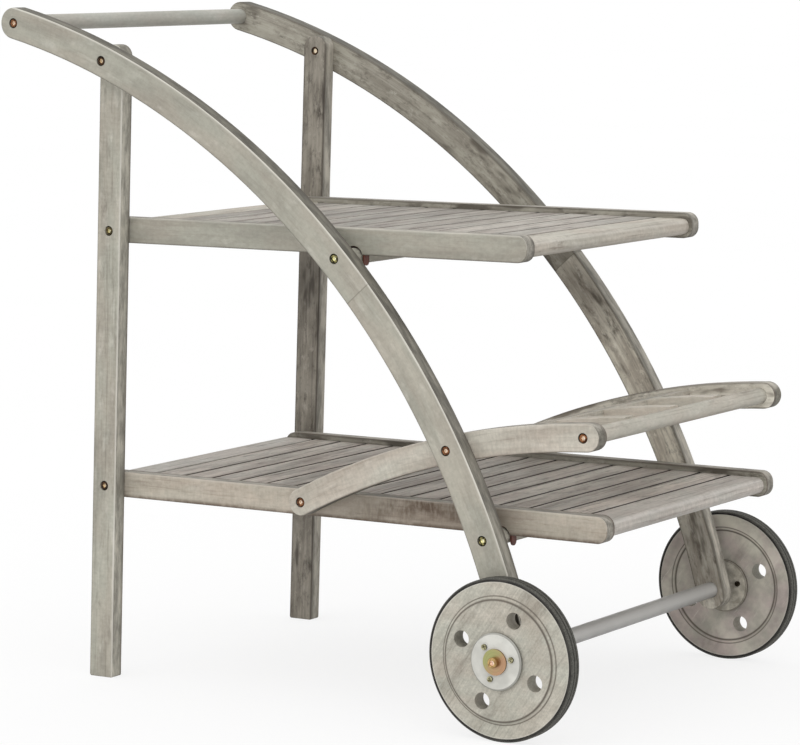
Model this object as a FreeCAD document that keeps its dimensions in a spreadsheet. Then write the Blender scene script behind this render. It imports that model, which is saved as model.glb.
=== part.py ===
import FreeCAD, Part
import math
import os
import Sketcher
from FreeCAD import Placement, Rotation, Vector

# Outdoor tea trolley, in millimetres. +X points from the handle to the wheels, +Y to the trolley's left and
# +Z up; the origin is on the floor under the middle of the trolley.
doc = FreeCAD.newDocument("tea_trolley")
sizes = doc.addObject("Spreadsheet::Sheet", "sizes")

SIZES = [
    ("shelf_width", 433.4, "across the outer faces of the lower shelf's side rails"),
    ("rail_thickness", 19.3, "side rails of the two slatted shelves"),
    ("leg_thickness", 20.5, "legs and front shelf rails, which lie in one layer"),
    ("arm_thickness", 22.3, "bent side arms, the outermost wooden layer"),
    ("arm_centre_x", -649.3, "centre of the arm's bend"),
    ("arm_centre_z", -147.5, "centre of the arm's bend"),
    ("arm_radius", 1002.0, "bend of the arm's centre line"),
    ("arm_width", 39.0, "arm across the bend"),
    ("arm_edge", 1.3, "rounded arris of the arm"),
    ("arm_tail", 5.5, "arm's round end past the axle, along the bend"),
    ("handle_angle", 75.78, "handle on the arm, in degrees round the bend"),
    ("leg_angle", 67.58, "leg's top bolt on the arm"),
    ("upper_bar_angle", 43.91, "upper crossbar on the arm"),
    ("upper_bar_offset", 2.9, "upper crossbar outside the arm's centre line"),
    ("joint_angle", 40.93, "glued joint between the arm's two lengths"),
    ("front_shelf_angle", 28.53, "front shelf's bolt on the arm"),
    ("front_shelf_offset", -1.4, "front shelf's bolt outside the arm's centre line"),
    ("lower_bar_angle", 21.99, "lower crossbar on the arm"),
    ("axle_offset", 1.8, "axle outside the arm's centre line"),
    ("leg_width", 34.8, "leg from back to front"),
    ("leg_lean", 2.17, "leg's lean from upright, in degrees"),
    ("leg_head", 19.6, "leg above its top bolt"),
    ("leg_round", 15.0, "rounded corners of the leg's top"),
    ("leg_edge", 1.3, "rounded arris of the leg"),
    ("foot_round", 2.5, "rounded corners of the foot"),
    ("handle_diameter", 20.0, "handle bar"),
    ("bar_diameter", 20.0, "crossbars under the shelves"),
    ("socket_depth", 3.0, "blind socket that a bar's end sits in"),
    ("socket_gap", 0.6, "socket over the bar, on the diameter"),
    ("rail_height", 32.0, "shelf side rails"),
    ("rail_lift", 2.3, "rail's bottom edge above the middle of its clip"),
    ("rail_rear_overhang", 18.0, "rail behind its leg bolt"),
    ("rail_rear_round", 14.0, "rounded corners of the rail's rear end"),
    ("rail_front_round", 13.5, "rounded corners of the rail's front end"),
    ("rail_edge", 1.2, "rounded arris of the rail"),
    ("shelf_play", 0.3, "gap between the upper shelf and each leg"),
    ("slat_width", 37.0, "slat from back to front"),
    ("slat_thickness", 12.0, "slat"),
    ("slat_recess", 7.0, "slat's top below the rail's top"),
    ("slat_edge", 1.2, "rounded long edges of a slat"),
    ("groove_depth", 6.0, "groove in the rail that holds the slat ends"),
    ("groove_play", 0.2, "groove's height over the slat"),
    ("slat_end_gap", 0.5, "slat's end short of the groove's floor"),
    ("upper_slat_count", 12, "slats of the upper shelf"),
    ("upper_slat_gap", 5.45, "between slats of the upper shelf"),
    ("lower_slat_count", 15, "slats of the lower shelf"),
    ("lower_slat_gap", 5.0, "between slats of the lower shelf"),
    ("rear_member_width", 43.0, "rear cross rail of a shelf"),
    ("rear_member_thickness", 18.0, "rear cross rail of a shelf"),
    ("front_member_width", 46.0, "front cross rail of a shelf"),
    ("front_member_thickness", 20.4, "front cross rail of a shelf"),
    ("front_member_round", 9.8, "bullnose of the front cross rail"),
    ("tip_overhang", 4.0, "side rail in front of the front cross rail"),
    ("clip_side_gap", 0.9, "crossbar to the side of its clip"),
    ("clip_seat_gap", 0.3, "crossbar to the crown of its clip"),
    ("clip_wall", 2.0, "clip"),
    ("clip_fit", 0.1, "clip to the notch round it"),
    ("clip_width", 11.4, "clip along the crossbar"),
    ("clip_leg", 10.9, "clip's round-ended legs below its middle"),
    ("front_rail_radius", 957.0, "bend of the front shelf's rails"),
    ("front_rail_width", 33.0, "front shelf's rail across the bend"),
    ("front_rail_tilt", 13.36, "arm bolt behind the crown of the bend, in degrees"),
    ("rear_bolt_turn", 14.11, "from the arm bolt back to the lower shelf bolt"),
    ("front_bolt_turn", 10.41, "from the arm bolt forward to the front bar"),
    ("front_rail_tip", 21.0, "rail in front of the front bar's middle"),
    ("front_bar_diameter", 20.0, "front bar of the front shelf"),
    ("cross_rail_turn", 3.37, "from the arm bolt forward to the rear cross rail"),
    ("cross_rail_width", 20.0, "rear cross rail of the front shelf"),
    ("rib_height", 22.0, "ribs and rear cross rail of the front shelf"),
    ("rib_drop", 5.0, "their tops below the front shelf rail's top"),
    ("rib_thickness", 20.0, "ribs of the front shelf"),
    ("rib_count", 3, "ribs of the front shelf"),
    ("rib_cope", 6.0, "rib's hollow end behind the front bar's middle"),
    ("bar_fit", 0.1, "rib's hollow end to the front bar"),
    ("bolt_diameter", 6.0, "frame bolts"),
    ("bolt_gap", 0.6, "bolt hole over the bolt, on the diameter"),
    ("thread_gap", 0.2, "threaded hole over the bolt, on the diameter"),
    ("running_gap", 0.1, "running fit over a bolt, on the diameter"),
    ("bolt_head_diameter", 11.0, "frame bolt's head"),
    ("bolt_head_height", 3.8, "frame bolt's head"),
    ("bolt_head_bevel", 0.8, "frame bolt's head"),
    ("bolt_socket", 5.0, "across the flats of the socket"),
    ("bolt_socket_depth", 2.4, "socket"),
    ("counterbore_diameter", 12.6, "recess round a bolt head"),
    ("counterbore_depth", 4.6, "recess round a bolt head"),
    ("bar_bolt_depth", 30.0, "bolt in the end of a bar"),
    ("rail_bolt_depth", 11.5, "bolt in a shelf rail"),
    ("bolt_tip_room", 0.5, "hole past the bolt's tip"),
    ("nut_flange_diameter", 11.0, "sleeve nut"),
    ("nut_flange_height", 2.4, "sleeve nut"),
    ("nut_recess", 0.5, "sleeve nut below the wood's inner face"),
    ("nut_barrel_diameter", 9.0, "sleeve nut"),
    ("nut_barrel_length", 10.0, "sleeve nut"),
    ("nut_gap", 0.4, "wood round the sleeve nut, on the diameter"),
    ("nut_tip_gap", 1.0, "bolt's tip short of the nut's face"),
    ("tyre_radius", 96.6, "tyre, which sets the axle's height"),
    ("tyre_width", 18.5, "tyre"),
    ("tyre_shoulder", 2.0, "bevelled shoulder of the tyre"),
    ("tyre_fit", 0.1, "tyre to the disc"),
    ("tread_groove_width", 1.8, "grooves round the tyre"),
    ("tread_groove_depth", 1.6, "grooves round the tyre"),
    ("tread_groove_pitch", 6.0, "between the two grooves"),
    ("tyre_wall", 4.3, "tyre outside the wheel disc's rim"),
    ("disc_thickness", 18.5, "wheel disc at its rim"),
    ("rim_groove_width", 10.0, "groove round the disc that holds the tyre"),
    ("rim_groove_depth", 3.0, "groove round the disc that holds the tyre"),
    ("centre_rise", 3.5, "disc's raised middle above its rim band, on the outer face"),
    ("centre_recess", 2.0, "disc's sunk middle below its rim band, on the inner face"),
    ("shoulder_inset", 16.5, "foot of the raised middle's slope, from the rim"),
    ("shoulder_width", 4.5, "slope round the raised middle"),
    ("disc_bore", 10.0, "bore of the disc"),
    ("wheel_hole_diameter", 20.0, "round holes through the disc"),
    ("wheel_hole_pitch", 53.6, "round holes from the axle"),
    ("wheel_hole_count", 4, "round holes through the disc"),
    ("right_wheel_turn", 66.6, "right wheel's first hole, in degrees from the front"),
    ("left_wheel_turn", 24.6, "left wheel's first hole, in degrees from the front"),
    ("hub_diameter", 68.0, "hub plates"),
    ("hub_thickness", 5.7, "hub plates"),
    ("hub_bevel", 1.8, "edge of the hub plates"),
    ("hub_turn", 12.0, "first screw of a hub plate, in degrees from the front"),
    ("hub_screw_count", 3, "screws in each hub plate"),
    ("hub_screw_pitch", 21.8, "hub screws from the axle"),
    ("screw_head_diameter", 7.0, "hub screws"),
    ("screw_head_height", 1.8, "hub screws"),
    ("screw_shank_diameter", 3.4, "hub screws"),
    ("screw_length", 11.0, "hub screw below its head, in the plate and disc"),
    ("screw_gap", 0.2, "screw hole over the screw, on the diameter"),
    ("screw_slot_width", 1.0, "cross slot of a screw"),
    ("screw_slot_length", 4.2, "cross slot of a screw"),
    ("screw_slot_depth", 1.0, "cross slot of a screw"),
    ("axle_bolt_diameter", 8.0, "axle bolts"),
    ("axle_head_diameter", 12.5, "axle bolt's head"),
    ("axle_head_height", 6.0, "axle bolt's head"),
    ("axle_socket", 6.0, "across the flats of the axle bolt's socket"),
    ("axle_socket_depth", 3.5, "axle bolt's socket"),
    ("axle_hole_gap", 0.4, "axle bolt's holes in the frame, on the diameter"),
    ("washer_diameter", 31.0, "axle washers"),
    ("washer_thickness", 2.0, "axle washers"),
    ("spacer_diameter", 16.0, "spacer between wheel and arm"),
    ("spacer_length", 12.6, "spacer between wheel and arm"),
    ("wheel_play", 0.3, "end float at each face of the wheel's hub"),
    ("tube_diameter", 20.0, "axle tube"),
    ("tube_wall", 2.0, "axle tube"),
    ("plug_length", 25.0, "threaded plug in each end of the axle tube"),
    ("plug_fit", 0.05, "plug to the tube's bore"),
    ("axle_bolt_depth", 22.0, "axle bolt in its plug"),
]
value = {}
for row, (alias, number, note) in enumerate(SIZES, start=1):
    sizes.set("A%d" % row, alias)
    sizes.set("B%d" % row, str(number))
    sizes.setAlias("B%d" % row, alias)
    sizes.set("C%d" % row, note)
    value[alias] = number
doc.recompute()

# Layers, measured from the middle plane outwards.
SHELF_HALF = "sizes.shelf_width / 2"
LEG_OUT = "(%s + sizes.leg_thickness)" % SHELF_HALF
ARM_OUT = "(%s + sizes.arm_thickness)" % LEG_OUT
RIGHT, LEFT = "right", "left"
SIDES = (RIGHT, LEFT)

# Places round the arm's bend, from the bend's centre.
AXLE_REACH = "(sizes.arm_radius + sizes.axle_offset)"
AXLE_ANGLE = "asin((sizes.tyre_radius - sizes.arm_centre_z) / %s)" % AXLE_REACH
ARM_END_ANGLE = "(%s - sizes.arm_tail / sizes.arm_radius * 1 rad)" % AXLE_ANGLE


def on_arm(angle, reach="sizes.arm_radius"):
    """Return the place at an angle round the arm's bend, from the bend's centre."""
    return "%s * cos(%s)" % (reach, angle), "%s * sin(%s)" % (reach, angle)


def in_frame(place):
    """Return a place on the arm in the trolley's own frame."""
    return "(sizes.arm_centre_x + %s)" % place[0], "(sizes.arm_centre_z + %s)" % place[1]


HANDLE_ON_ARM = on_arm("sizes.handle_angle * 1 deg")
LEG_ON_ARM = on_arm("sizes.leg_angle * 1 deg")
UPPER_BAR_ON_ARM = on_arm("sizes.upper_bar_angle * 1 deg", "(sizes.arm_radius + sizes.upper_bar_offset)")
FRONT_SHELF_ON_ARM = on_arm("sizes.front_shelf_angle * 1 deg",
                            "(sizes.arm_radius + sizes.front_shelf_offset)")
LOWER_BAR_ON_ARM = on_arm("sizes.lower_bar_angle * 1 deg")
AXLE_ON_ARM = on_arm(AXLE_ANGLE, AXLE_REACH)
HANDLE = in_frame(HANDLE_ON_ARM)
LEG_TOP = in_frame(LEG_ON_ARM)
UPPER_BAR = in_frame(UPPER_BAR_ON_ARM)
FRONT_SHELF = in_frame(FRONT_SHELF_ON_ARM)
LOWER_BAR = in_frame(LOWER_BAR_ON_ARM)
AXLE = in_frame(AXLE_ON_ARM)

# A shelf's heights follow the crossbar that carries it.
CLIP_DROP = "(sizes.clip_side_gap - sizes.clip_seat_gap)"
NOTCH_RADIUS = "(sizes.bar_diameter / 2 + sizes.clip_side_gap + sizes.clip_wall + sizes.clip_fit)"
RAIL_MIDDLE = "(sizes.rail_lift + sizes.rail_height / 2)"
SLAT_FLOOR = "(sizes.rail_lift + sizes.rail_height - sizes.slat_recess - sizes.slat_thickness)"
SLAT_TOP = "(sizes.rail_lift + sizes.rail_height - sizes.slat_recess)"
TOLERANCE = 1e-4


def clip_height(bar):
    """Return the height of the clip's middle on a crossbar."""
    return "(%s - %s)" % (bar[1], CLIP_DROP)


def leg_middle(height):
    """Return where the leg's centre line is at a height."""
    return "(%s - (%s - %s) * tan(sizes.leg_lean * 1 deg))" % (LEG_TOP[0], LEG_TOP[1], height)


UPPER_CLIP = clip_height(UPPER_BAR)
LOWER_CLIP = clip_height(LOWER_BAR)
UPPER_BOLT = "(%s + %s)" % (UPPER_CLIP, RAIL_MIDDLE)
LOWER_BOLT = "(%s + %s)" % (LOWER_CLIP, RAIL_MIDDLE)
UPPER_REAR = "(%s - sizes.rail_rear_overhang)" % leg_middle(UPPER_BOLT)
LOWER_REAR = "(%s - sizes.rail_rear_overhang)" % leg_middle(LOWER_BOLT)

# The front shelf hangs from the arm's bolt; angles run round its own bend from the crown.
FRONT_CENTRE = (
    "(%s + sizes.front_rail_radius * sin(sizes.front_rail_tilt * 1 deg))" % FRONT_SHELF[0],
    "(%s - sizes.front_rail_radius * cos(sizes.front_rail_tilt * 1 deg))" % FRONT_SHELF[1],
)
ARM_BOLT_TURN = "sizes.front_rail_tilt * 1 deg"
REAR_BOLT_TURN = "(sizes.front_rail_tilt + sizes.rear_bolt_turn) * 1 deg"
FRONT_BOLT_TURN = "(sizes.front_rail_tilt - sizes.front_bolt_turn) * 1 deg"
RAD = "(180 deg / pi)"
TIP_TURN = "(%s - (sizes.front_rail_tip - sizes.front_rail_width / 2) / sizes.front_rail_radius * %s)" % (
    FRONT_BOLT_TURN, RAD)
CROSS_REAR_TURN = "(sizes.front_rail_tilt - sizes.cross_rail_turn) * 1 deg"
CROSS_FRONT_TURN = "(%s - sizes.cross_rail_width / sizes.front_rail_radius * %s)" % (CROSS_REAR_TURN, RAD)
RIB_FRONT_TURN = "(%s + sizes.rib_cope / sizes.front_rail_radius * %s)" % (FRONT_BOLT_TURN, RAD)
RIB_RADIUS = "(sizes.front_rail_radius + sizes.front_rail_width / 2 - sizes.rib_drop - sizes.rib_height / 2)"
CROWN_UP = Rotation(Vector(0, 1, 0), -90)


def on_front_rail(turn, reach="sizes.front_rail_radius"):
    """Return the place at an angle round the front shelf's bend, with the crown along the first axis."""
    return "%s * cos(%s)" % (reach, turn), "%s * sin(%s)" % (reach, turn)


def front_in_frame(place):
    """Return a place on the front shelf's bend in the trolley's own frame."""
    return "(%s - %s)" % (FRONT_CENTRE[0], place[1]), "(%s + %s)" % (FRONT_CENTRE[1], place[0])


FRONT_BAR = front_in_frame(on_front_rail(FRONT_BOLT_TURN))
REAR_BOLT = front_in_frame(on_front_rail(REAR_BOLT_TURN))


def add_body(label, x="0", y="0", z="0", turn=None):
    """Start a piece at a place in the trolley's frame."""
    body = doc.addObject("PartDesign::Body", label)
    body.Label = label
    if turn is not None:
        body.Placement = Placement(Vector(), turn)
    for axis, expression in zip("xyz", (x, y, z)):
        body.setExpression("Placement.Base." + axis, expression)
    return body


def origin_feature(body, role):
    """Return one of the body's own planes or axes."""
    return next(feature for feature in body.Origin.OriginFeatures if feature.Role == role)


def add_sketch(body, role="XZ_Plane", offset=None):
    """Start a sketch on one of the body's planes, or a distance along its normal."""
    sketch = body.newObject("Sketcher::SketchObject", body.Label + "_sketch")
    sketch.AttachmentSupport = (origin_feature(body, role), [""])
    sketch.MapMode = "FlatFace"
    if offset is not None:
        sketch.setExpression("AttachmentOffset.Base.z", offset)
    return sketch


def hold(sketch, constraint, expression):
    """Add a constraint whose size follows the sheet."""
    index = sketch.addConstraint(constraint)
    name = "size_%d" % index
    sketch.renameConstraint(index, name)
    sketch.setExpression("Constraints." + name, expression)


def hold_point(sketch, geometry, point, x, y):
    """Place a sketch point; None leaves it on that axis."""
    if x is None:
        sketch.addConstraint(Sketcher.Constraint("PointOnObject", geometry, point, -2))
    else:
        hold(sketch, Sketcher.Constraint("DistanceX", -1, 1, geometry, point, 1.0), x)
    if y is None:
        sketch.addConstraint(Sketcher.Constraint("PointOnObject", geometry, point, -1))
    else:
        hold(sketch, Sketcher.Constraint("DistanceY", -1, 1, geometry, point, 1.0), y)


def polygon(sketch, corners):
    """Draw a closed outline through corners given as pairs of expressions."""
    count = len(corners)
    ring = [Vector(math.cos(2 * math.pi * i / count), math.sin(2 * math.pi * i / count), 0)
            for i in range(count)]
    sides = [sketch.addGeometry(Part.LineSegment(ring[i], ring[(i + 1) % count])) for i in range(count)]
    for i, side in enumerate(sides):
        sketch.addConstraint(Sketcher.Constraint("Coincident", side, 2, sides[(i + 1) % count], 1))
        hold_point(sketch, side, 1, corners[i][0], corners[i][1])


def box_corners(left, bottom, width, height):
    """Return the corners of an upright rectangle; None starts it on that axis."""
    right = width if left is None else "%s + %s" % (left, width)
    top = height if bottom is None else "%s + %s" % (bottom, height)
    return [(left, bottom), (right, bottom), (right, top), (left, top)]


def circles(sketch, places, diameter):
    """Draw equal circles at places given as pairs of expressions."""
    for index, (x, y) in enumerate(places):
        start = Vector(index + 1, 1, 0)
        circle = sketch.addGeometry(Part.Circle(start, Vector(0, 0, 1), 1))
        hold_point(sketch, circle, 3, x, y)
        hold(sketch, Sketcher.Constraint("Diameter", circle, 2.0), diameter)


def hexagon(across):
    """Return the corners of a hexagon about the origin, from its size across the flats."""
    half = "%s / 2" % across
    point = "%s / sqrt(3)" % across
    side = "%s / sqrt(3) / 2" % across
    return [(point, None), (side, half), ("-" + side, half), ("-" + point, None),
            ("-" + side, "-" + half), (side, "-" + half)]


def cross_corners(middle, reach, half):
    """Return the corners of a plus-shaped outline about a place."""
    back, under = "-" + reach, "-" + half
    steps = [(reach, half), (half, half), (half, reach), (under, reach), (under, half), (back, half),
             (back, under), (under, under), (under, back), (half, back), (half, under), (reach, under)]
    return [("%s + (%s)" % (middle[0], x), "%s + (%s)" % (middle[1], y)) for x, y in steps]


def bent_strip(sketch, radius, width, low, high, guess):
    """Draw a strip bent about the origin, each end (angle, rounded), from a first guess in numbers."""
    bend, across, low_guess, high_guess = guess
    normal = Vector(0, 0, 1)
    start, stop = math.radians(low_guess), math.radians(high_guess)
    arcs = []
    for first, sign in ((bend + across / 2, "+"), (bend - across / 2, "-")):
        arc = sketch.addGeometry(Part.ArcOfCircle(Part.Circle(Vector(), normal, first), start, stop))
        sketch.addConstraint(Sketcher.Constraint("Coincident", arc, 3, -1, 1))
        hold(sketch, Sketcher.Constraint("Radius", arc, first), "%s %s %s / 2" % (radius, sign, width))
        arcs.append(arc)
    outer, inner = arcs
    for (angle, rounded), turn, point in ((low, start, 1), (high, stop, 2)):
        along = Vector(math.cos(turn), math.sin(turn), 0)
        if rounded:
            first = turn + math.pi if point == 1 else turn
            cap = sketch.addGeometry(
                Part.ArcOfCircle(Part.Circle(along * bend, normal, across / 2), first, first + math.pi))
            spoke = sketch.addGeometry(Part.LineSegment(Vector(), along * bend), True)
            sketch.addConstraint(Sketcher.Constraint("Coincident", spoke, 1, -1, 1))
            sketch.addConstraint(Sketcher.Constraint("Coincident", spoke, 2, cap, 3))
            sketch.addConstraint(Sketcher.Constraint("Tangent", inner, point, cap, point))
            sketch.addConstraint(Sketcher.Constraint("Tangent", outer, point, cap, 3 - point))
            hold(sketch, Sketcher.Constraint("Angle", spoke, turn), angle)
        else:
            end = sketch.addGeometry(
                Part.LineSegment(along * (bend - across / 2), along * (bend + across / 2)))
            sketch.addConstraint(Sketcher.Constraint("Coincident", inner, point, end, 1))
            sketch.addConstraint(Sketcher.Constraint("Coincident", outer, point, end, 2))
            sketch.addConstraint(Sketcher.Constraint("PointOnObject", -1, 1, end))
            hold(sketch, Sketcher.Constraint("Angle", end, turn), angle)


def add_pad(body, sketch, length):
    """Pad a sketch along its normal."""
    pad = body.newObject("PartDesign::Pad", body.Label + "_pad")
    pad.Profile = sketch
    pad.setExpression("Length", length)
    return pad


def add_turning(body, sketch):
    """Turn a sketch once round the body's Y axis."""
    turning = body.newObject("PartDesign::Revolution", body.Label + "_turning")
    turning.Profile = sketch
    turning.ReferenceAxis = (sketch, ["V_Axis"])
    turning.Angle = 360
    return turning


def add_pocket(body, sketch, depth, reverse=False):
    """Cut a sketch into the piece, against its normal or along it."""
    pocket = body.newObject("PartDesign::Pocket", body.Label + "_pocket")
    pocket.Profile = sketch
    pocket.Reversed = reverse
    pocket.setExpression("Length", depth)
    return pocket


def dress_edges(body, base, chosen, radius, kind="PartDesign::Fillet"):
    """Round or bevel the chosen edges of a feature."""
    doc.recompute()
    names = ["Edge%d" % (i + 1) for i, edge in enumerate(base.Shape.Edges) if chosen(edge.BoundBox, edge)]
    dressed = body.newObject(kind, body.Label + "_edges")
    dressed.Base = (base, names)
    dressed.setExpression("Radius" if kind.endswith("Fillet") else "Size", radius)
    return dressed


def on_faces(box, edge):
    """Tell whether an edge lies in one of the piece's two wide faces."""
    return box.YLength < TOLERANCE


def across(box, edge):
    """Tell whether an edge runs straight through the piece."""
    return box.XLength < TOLERANCE and box.ZLength < TOLERANCE


def board_y(side, inner, thickness):
    """Return where a board starts, so that it fills its layer on that side."""
    return "-(%s)" % inner if side == RIGHT else "%s + %s" % (inner, thickness)


def turned_y(side, inner, thickness):
    """Return where a turned piece starts, so that it fills its layer on that side."""
    return "-(%s + %s)" % (inner, thickness) if side == RIGHT else inner


def drill(body, side, thickness, face, places, diameter, depth):
    """Drill equal holes into a board from its outer or inner face."""
    at_start = (side == RIGHT) == (face == "inner")
    sketch = add_sketch(body, offset=None if at_start else thickness)
    circles(sketch, places, diameter)
    return add_pocket(body, sketch, depth, reverse=at_start)


def add_socket(body, side, thickness, place, diameter):
    """Sink a blind socket for a bar's end into a board's inner face."""
    return drill(body, side, thickness, "inner", [place], diameter + " + sizes.socket_gap",
                 "sizes.socket_depth")


def add_link(name, target, x, y, z, turn=None):
    """Place a copy of a piece."""
    link = doc.addObject("App::Link", name)
    link.LinkedObject = target
    if turn is not None:
        link.Placement = Placement(Vector(), turn)
    for axis, expression in zip("xyz", (x, y, z)):
        link.setExpression("Placement.Base." + axis, expression)
    return link


def add_group(label, members):
    """Gather separate solids in one sub-part."""
    group = doc.addObject("Part::Compound", label)
    group.Label = label
    group.Links = members
    return group


HALF_TURN = Rotation(Vector(0, 0, 1), 180)
BOLT_HOLE = "sizes.bolt_diameter + sizes.bolt_gap"
THREAD_HOLE = "sizes.bolt_diameter + sizes.thread_gap"
RUNNING_HOLE = "sizes.bolt_diameter + sizes.running_gap"
COUNTERBORE = "sizes.counterbore_diameter"
COUNTERBORE_DEPTH = "sizes.counterbore_depth"
SCREW_HOLE = "sizes.screw_shank_diameter + sizes.screw_gap"
AXLE_HOLE = "sizes.axle_bolt_diameter + sizes.axle_hole_gap"
NUT_FLANGE_HOLE = "sizes.nut_flange_diameter + sizes.nut_gap"
NUT_FLANGE_DEPTH = "sizes.nut_flange_height + sizes.nut_recess"
NUT_BARREL_HOLE = "sizes.nut_barrel_diameter + sizes.nut_gap"
NUT_BARREL_DEPTH = "sizes.nut_flange_height + sizes.nut_recess + sizes.nut_barrel_length"
pieces = []


# Side arms: two lengths each, glued end to end across the bend.
def make_arm(side, length):
    """Make one length of a bent arm with its bolt holes."""
    body = add_body("%s_arm_%s" % (side, length), "sizes.arm_centre_x",
                    board_y(side, LEG_OUT, "sizes.arm_thickness"), "sizes.arm_centre_z")
    sketch = add_sketch(body)
    reach = value["arm_radius"] + value["axle_offset"]
    axle_guess = math.asin((value["tyre_radius"] - value["arm_centre_z"]) / reach)
    end_guess = math.degrees(axle_guess - value["arm_tail"] / value["arm_radius"])
    joint = ("sizes.joint_angle * 1 deg", False)
    if length == "upper":
        ends = (joint, ("sizes.handle_angle * 1 deg", True))
        guess = (value["arm_radius"], value["arm_width"], value["joint_angle"], value["handle_angle"])
        bolts = [HANDLE_ON_ARM, LEG_ON_ARM, UPPER_BAR_ON_ARM]
        bars = [(HANDLE_ON_ARM, "sizes.handle_diameter"), (UPPER_BAR_ON_ARM, "sizes.bar_diameter")]
    else:
        ends = ((ARM_END_ANGLE, True), joint)
        guess = (value["arm_radius"], value["arm_width"], end_guess, value["joint_angle"])
        bolts = [FRONT_SHELF_ON_ARM, LOWER_BAR_ON_ARM]
        bars = [(LOWER_BAR_ON_ARM, "sizes.bar_diameter"), (AXLE_ON_ARM, "sizes.tube_diameter")]
    bent_strip(sketch, "sizes.arm_radius", "sizes.arm_width", ends[0], ends[1], guess)
    strip = add_pad(body, sketch, "sizes.arm_thickness")
    dress_edges(body, strip, lambda box, edge: on_faces(box, edge) and isinstance(edge.Curve, Part.Circle),
                "sizes.arm_edge")
    thickness = "sizes.arm_thickness"
    drill(body, side, thickness, "outer", bolts, BOLT_HOLE, thickness)
    drill(body, side, thickness, "outer", bolts, COUNTERBORE, COUNTERBORE_DEPTH)
    if length == "lower":
        drill(body, side, thickness, "outer", [AXLE_ON_ARM], AXLE_HOLE, thickness)
    for place, diameter in bars:
        add_socket(body, side, thickness, place, diameter)
    return body


# Legs: leaning boards with rounded tops and level feet.
LEG_SPAN = "(sizes.leg_width / cos(sizes.leg_lean * 1 deg))"
LEG_FOOT = "(%s - %s / 2)" % (leg_middle("0"), LEG_SPAN)


def on_leg(height):
    """Return a place on the leg's centre line, from the rear corner of the foot."""
    return "%s - %s" % (leg_middle(height), LEG_FOOT), height


def make_leg(side):
    """Make a leg with its bolt holes and the recess for its sleeve nut."""
    body = add_body("%s_leg" % side, LEG_FOOT, board_y(side, SHELF_HALF, "sizes.leg_thickness"))
    sketch = add_sketch(body)
    height = "(%s + sizes.leg_head)" % LEG_TOP[1]
    shift = "%s * tan(sizes.leg_lean * 1 deg)" % height
    front_top = "%s + %s" % (LEG_SPAN, shift)
    polygon(sketch, [(None, None), (LEG_SPAN, None), (front_top, height), (shift, height)])
    board = add_pad(body, sketch, "sizes.leg_thickness")
    doc.recompute()
    top = board.Shape.BoundBox.ZMax
    head = dress_edges(body, board, lambda box, edge: across(box, edge) and box.ZMin > top - TOLERANCE,
                       "sizes.leg_round")
    foot = dress_edges(body, head, lambda box, edge: across(box, edge) and box.ZMax < TOLERANCE,
                       "sizes.foot_round")
    dress_edges(body, foot, on_faces, "sizes.leg_edge")
    shelf_bolts = [on_leg(UPPER_BOLT), on_leg(LOWER_BOLT)]
    top_bolt = [on_leg(LEG_TOP[1])]
    thickness = "sizes.leg_thickness"
    drill(body, side, thickness, "outer", shelf_bolts + top_bolt, BOLT_HOLE, thickness)
    drill(body, side, thickness, "outer", shelf_bolts, COUNTERBORE, COUNTERBORE_DEPTH)
    drill(body, side, thickness, "inner", top_bolt, NUT_FLANGE_HOLE, NUT_FLANGE_DEPTH)
    drill(body, side, thickness, "inner", top_bolt, NUT_BARREL_HOLE, NUT_BARREL_DEPTH)
    return body


# Round bars, seated in sockets and bored at each end for a bolt.
def make_bar(label, place, half, diameter):
    """Make a round bar across the trolley."""
    body = add_body(label, place[0], half, place[1])
    length = "2 * (%s)" % half
    depth = "sizes.bar_bolt_depth + sizes.bolt_tip_room"
    sketch = add_sketch(body)
    circles(sketch, [(None, None)], diameter)
    add_pad(body, sketch, length)
    near_end = add_sketch(body)
    circles(near_end, [(None, None)], THREAD_HOLE)
    add_pocket(body, near_end, depth, reverse=True)
    far_end = add_sketch(body, offset=length)
    circles(far_end, [(None, None)], THREAD_HOLE)
    add_pocket(body, far_end, depth)
    return body


# Slatted shelves.
def slat_run(shelf):
    """Return the length taken up by the slats and the gaps before, between and after them."""
    return "(sizes.%s_slat_count * sizes.slat_width + (sizes.%s_slat_count + 1) * sizes.%s_slat_gap)" % (
        shelf, shelf, shelf)


def rail_length(shelf):
    """Return the length of a shelf's side rails."""
    return "(sizes.rear_member_width + %s + sizes.front_member_width + sizes.tip_overhang)" % slat_run(shelf)


SHELVES = {
    "upper": {"rear": UPPER_REAR, "clip": UPPER_CLIP, "bar": UPPER_BAR,
              "half": "(%s - sizes.shelf_play)" % SHELF_HALF, "bolt_hole": RUNNING_HOLE},
    "lower": {"rear": LOWER_REAR, "clip": LOWER_CLIP, "bar": LOWER_BAR,
              "half": "(%s)" % SHELF_HALF, "bolt_hole": THREAD_HOLE},
}


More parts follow.
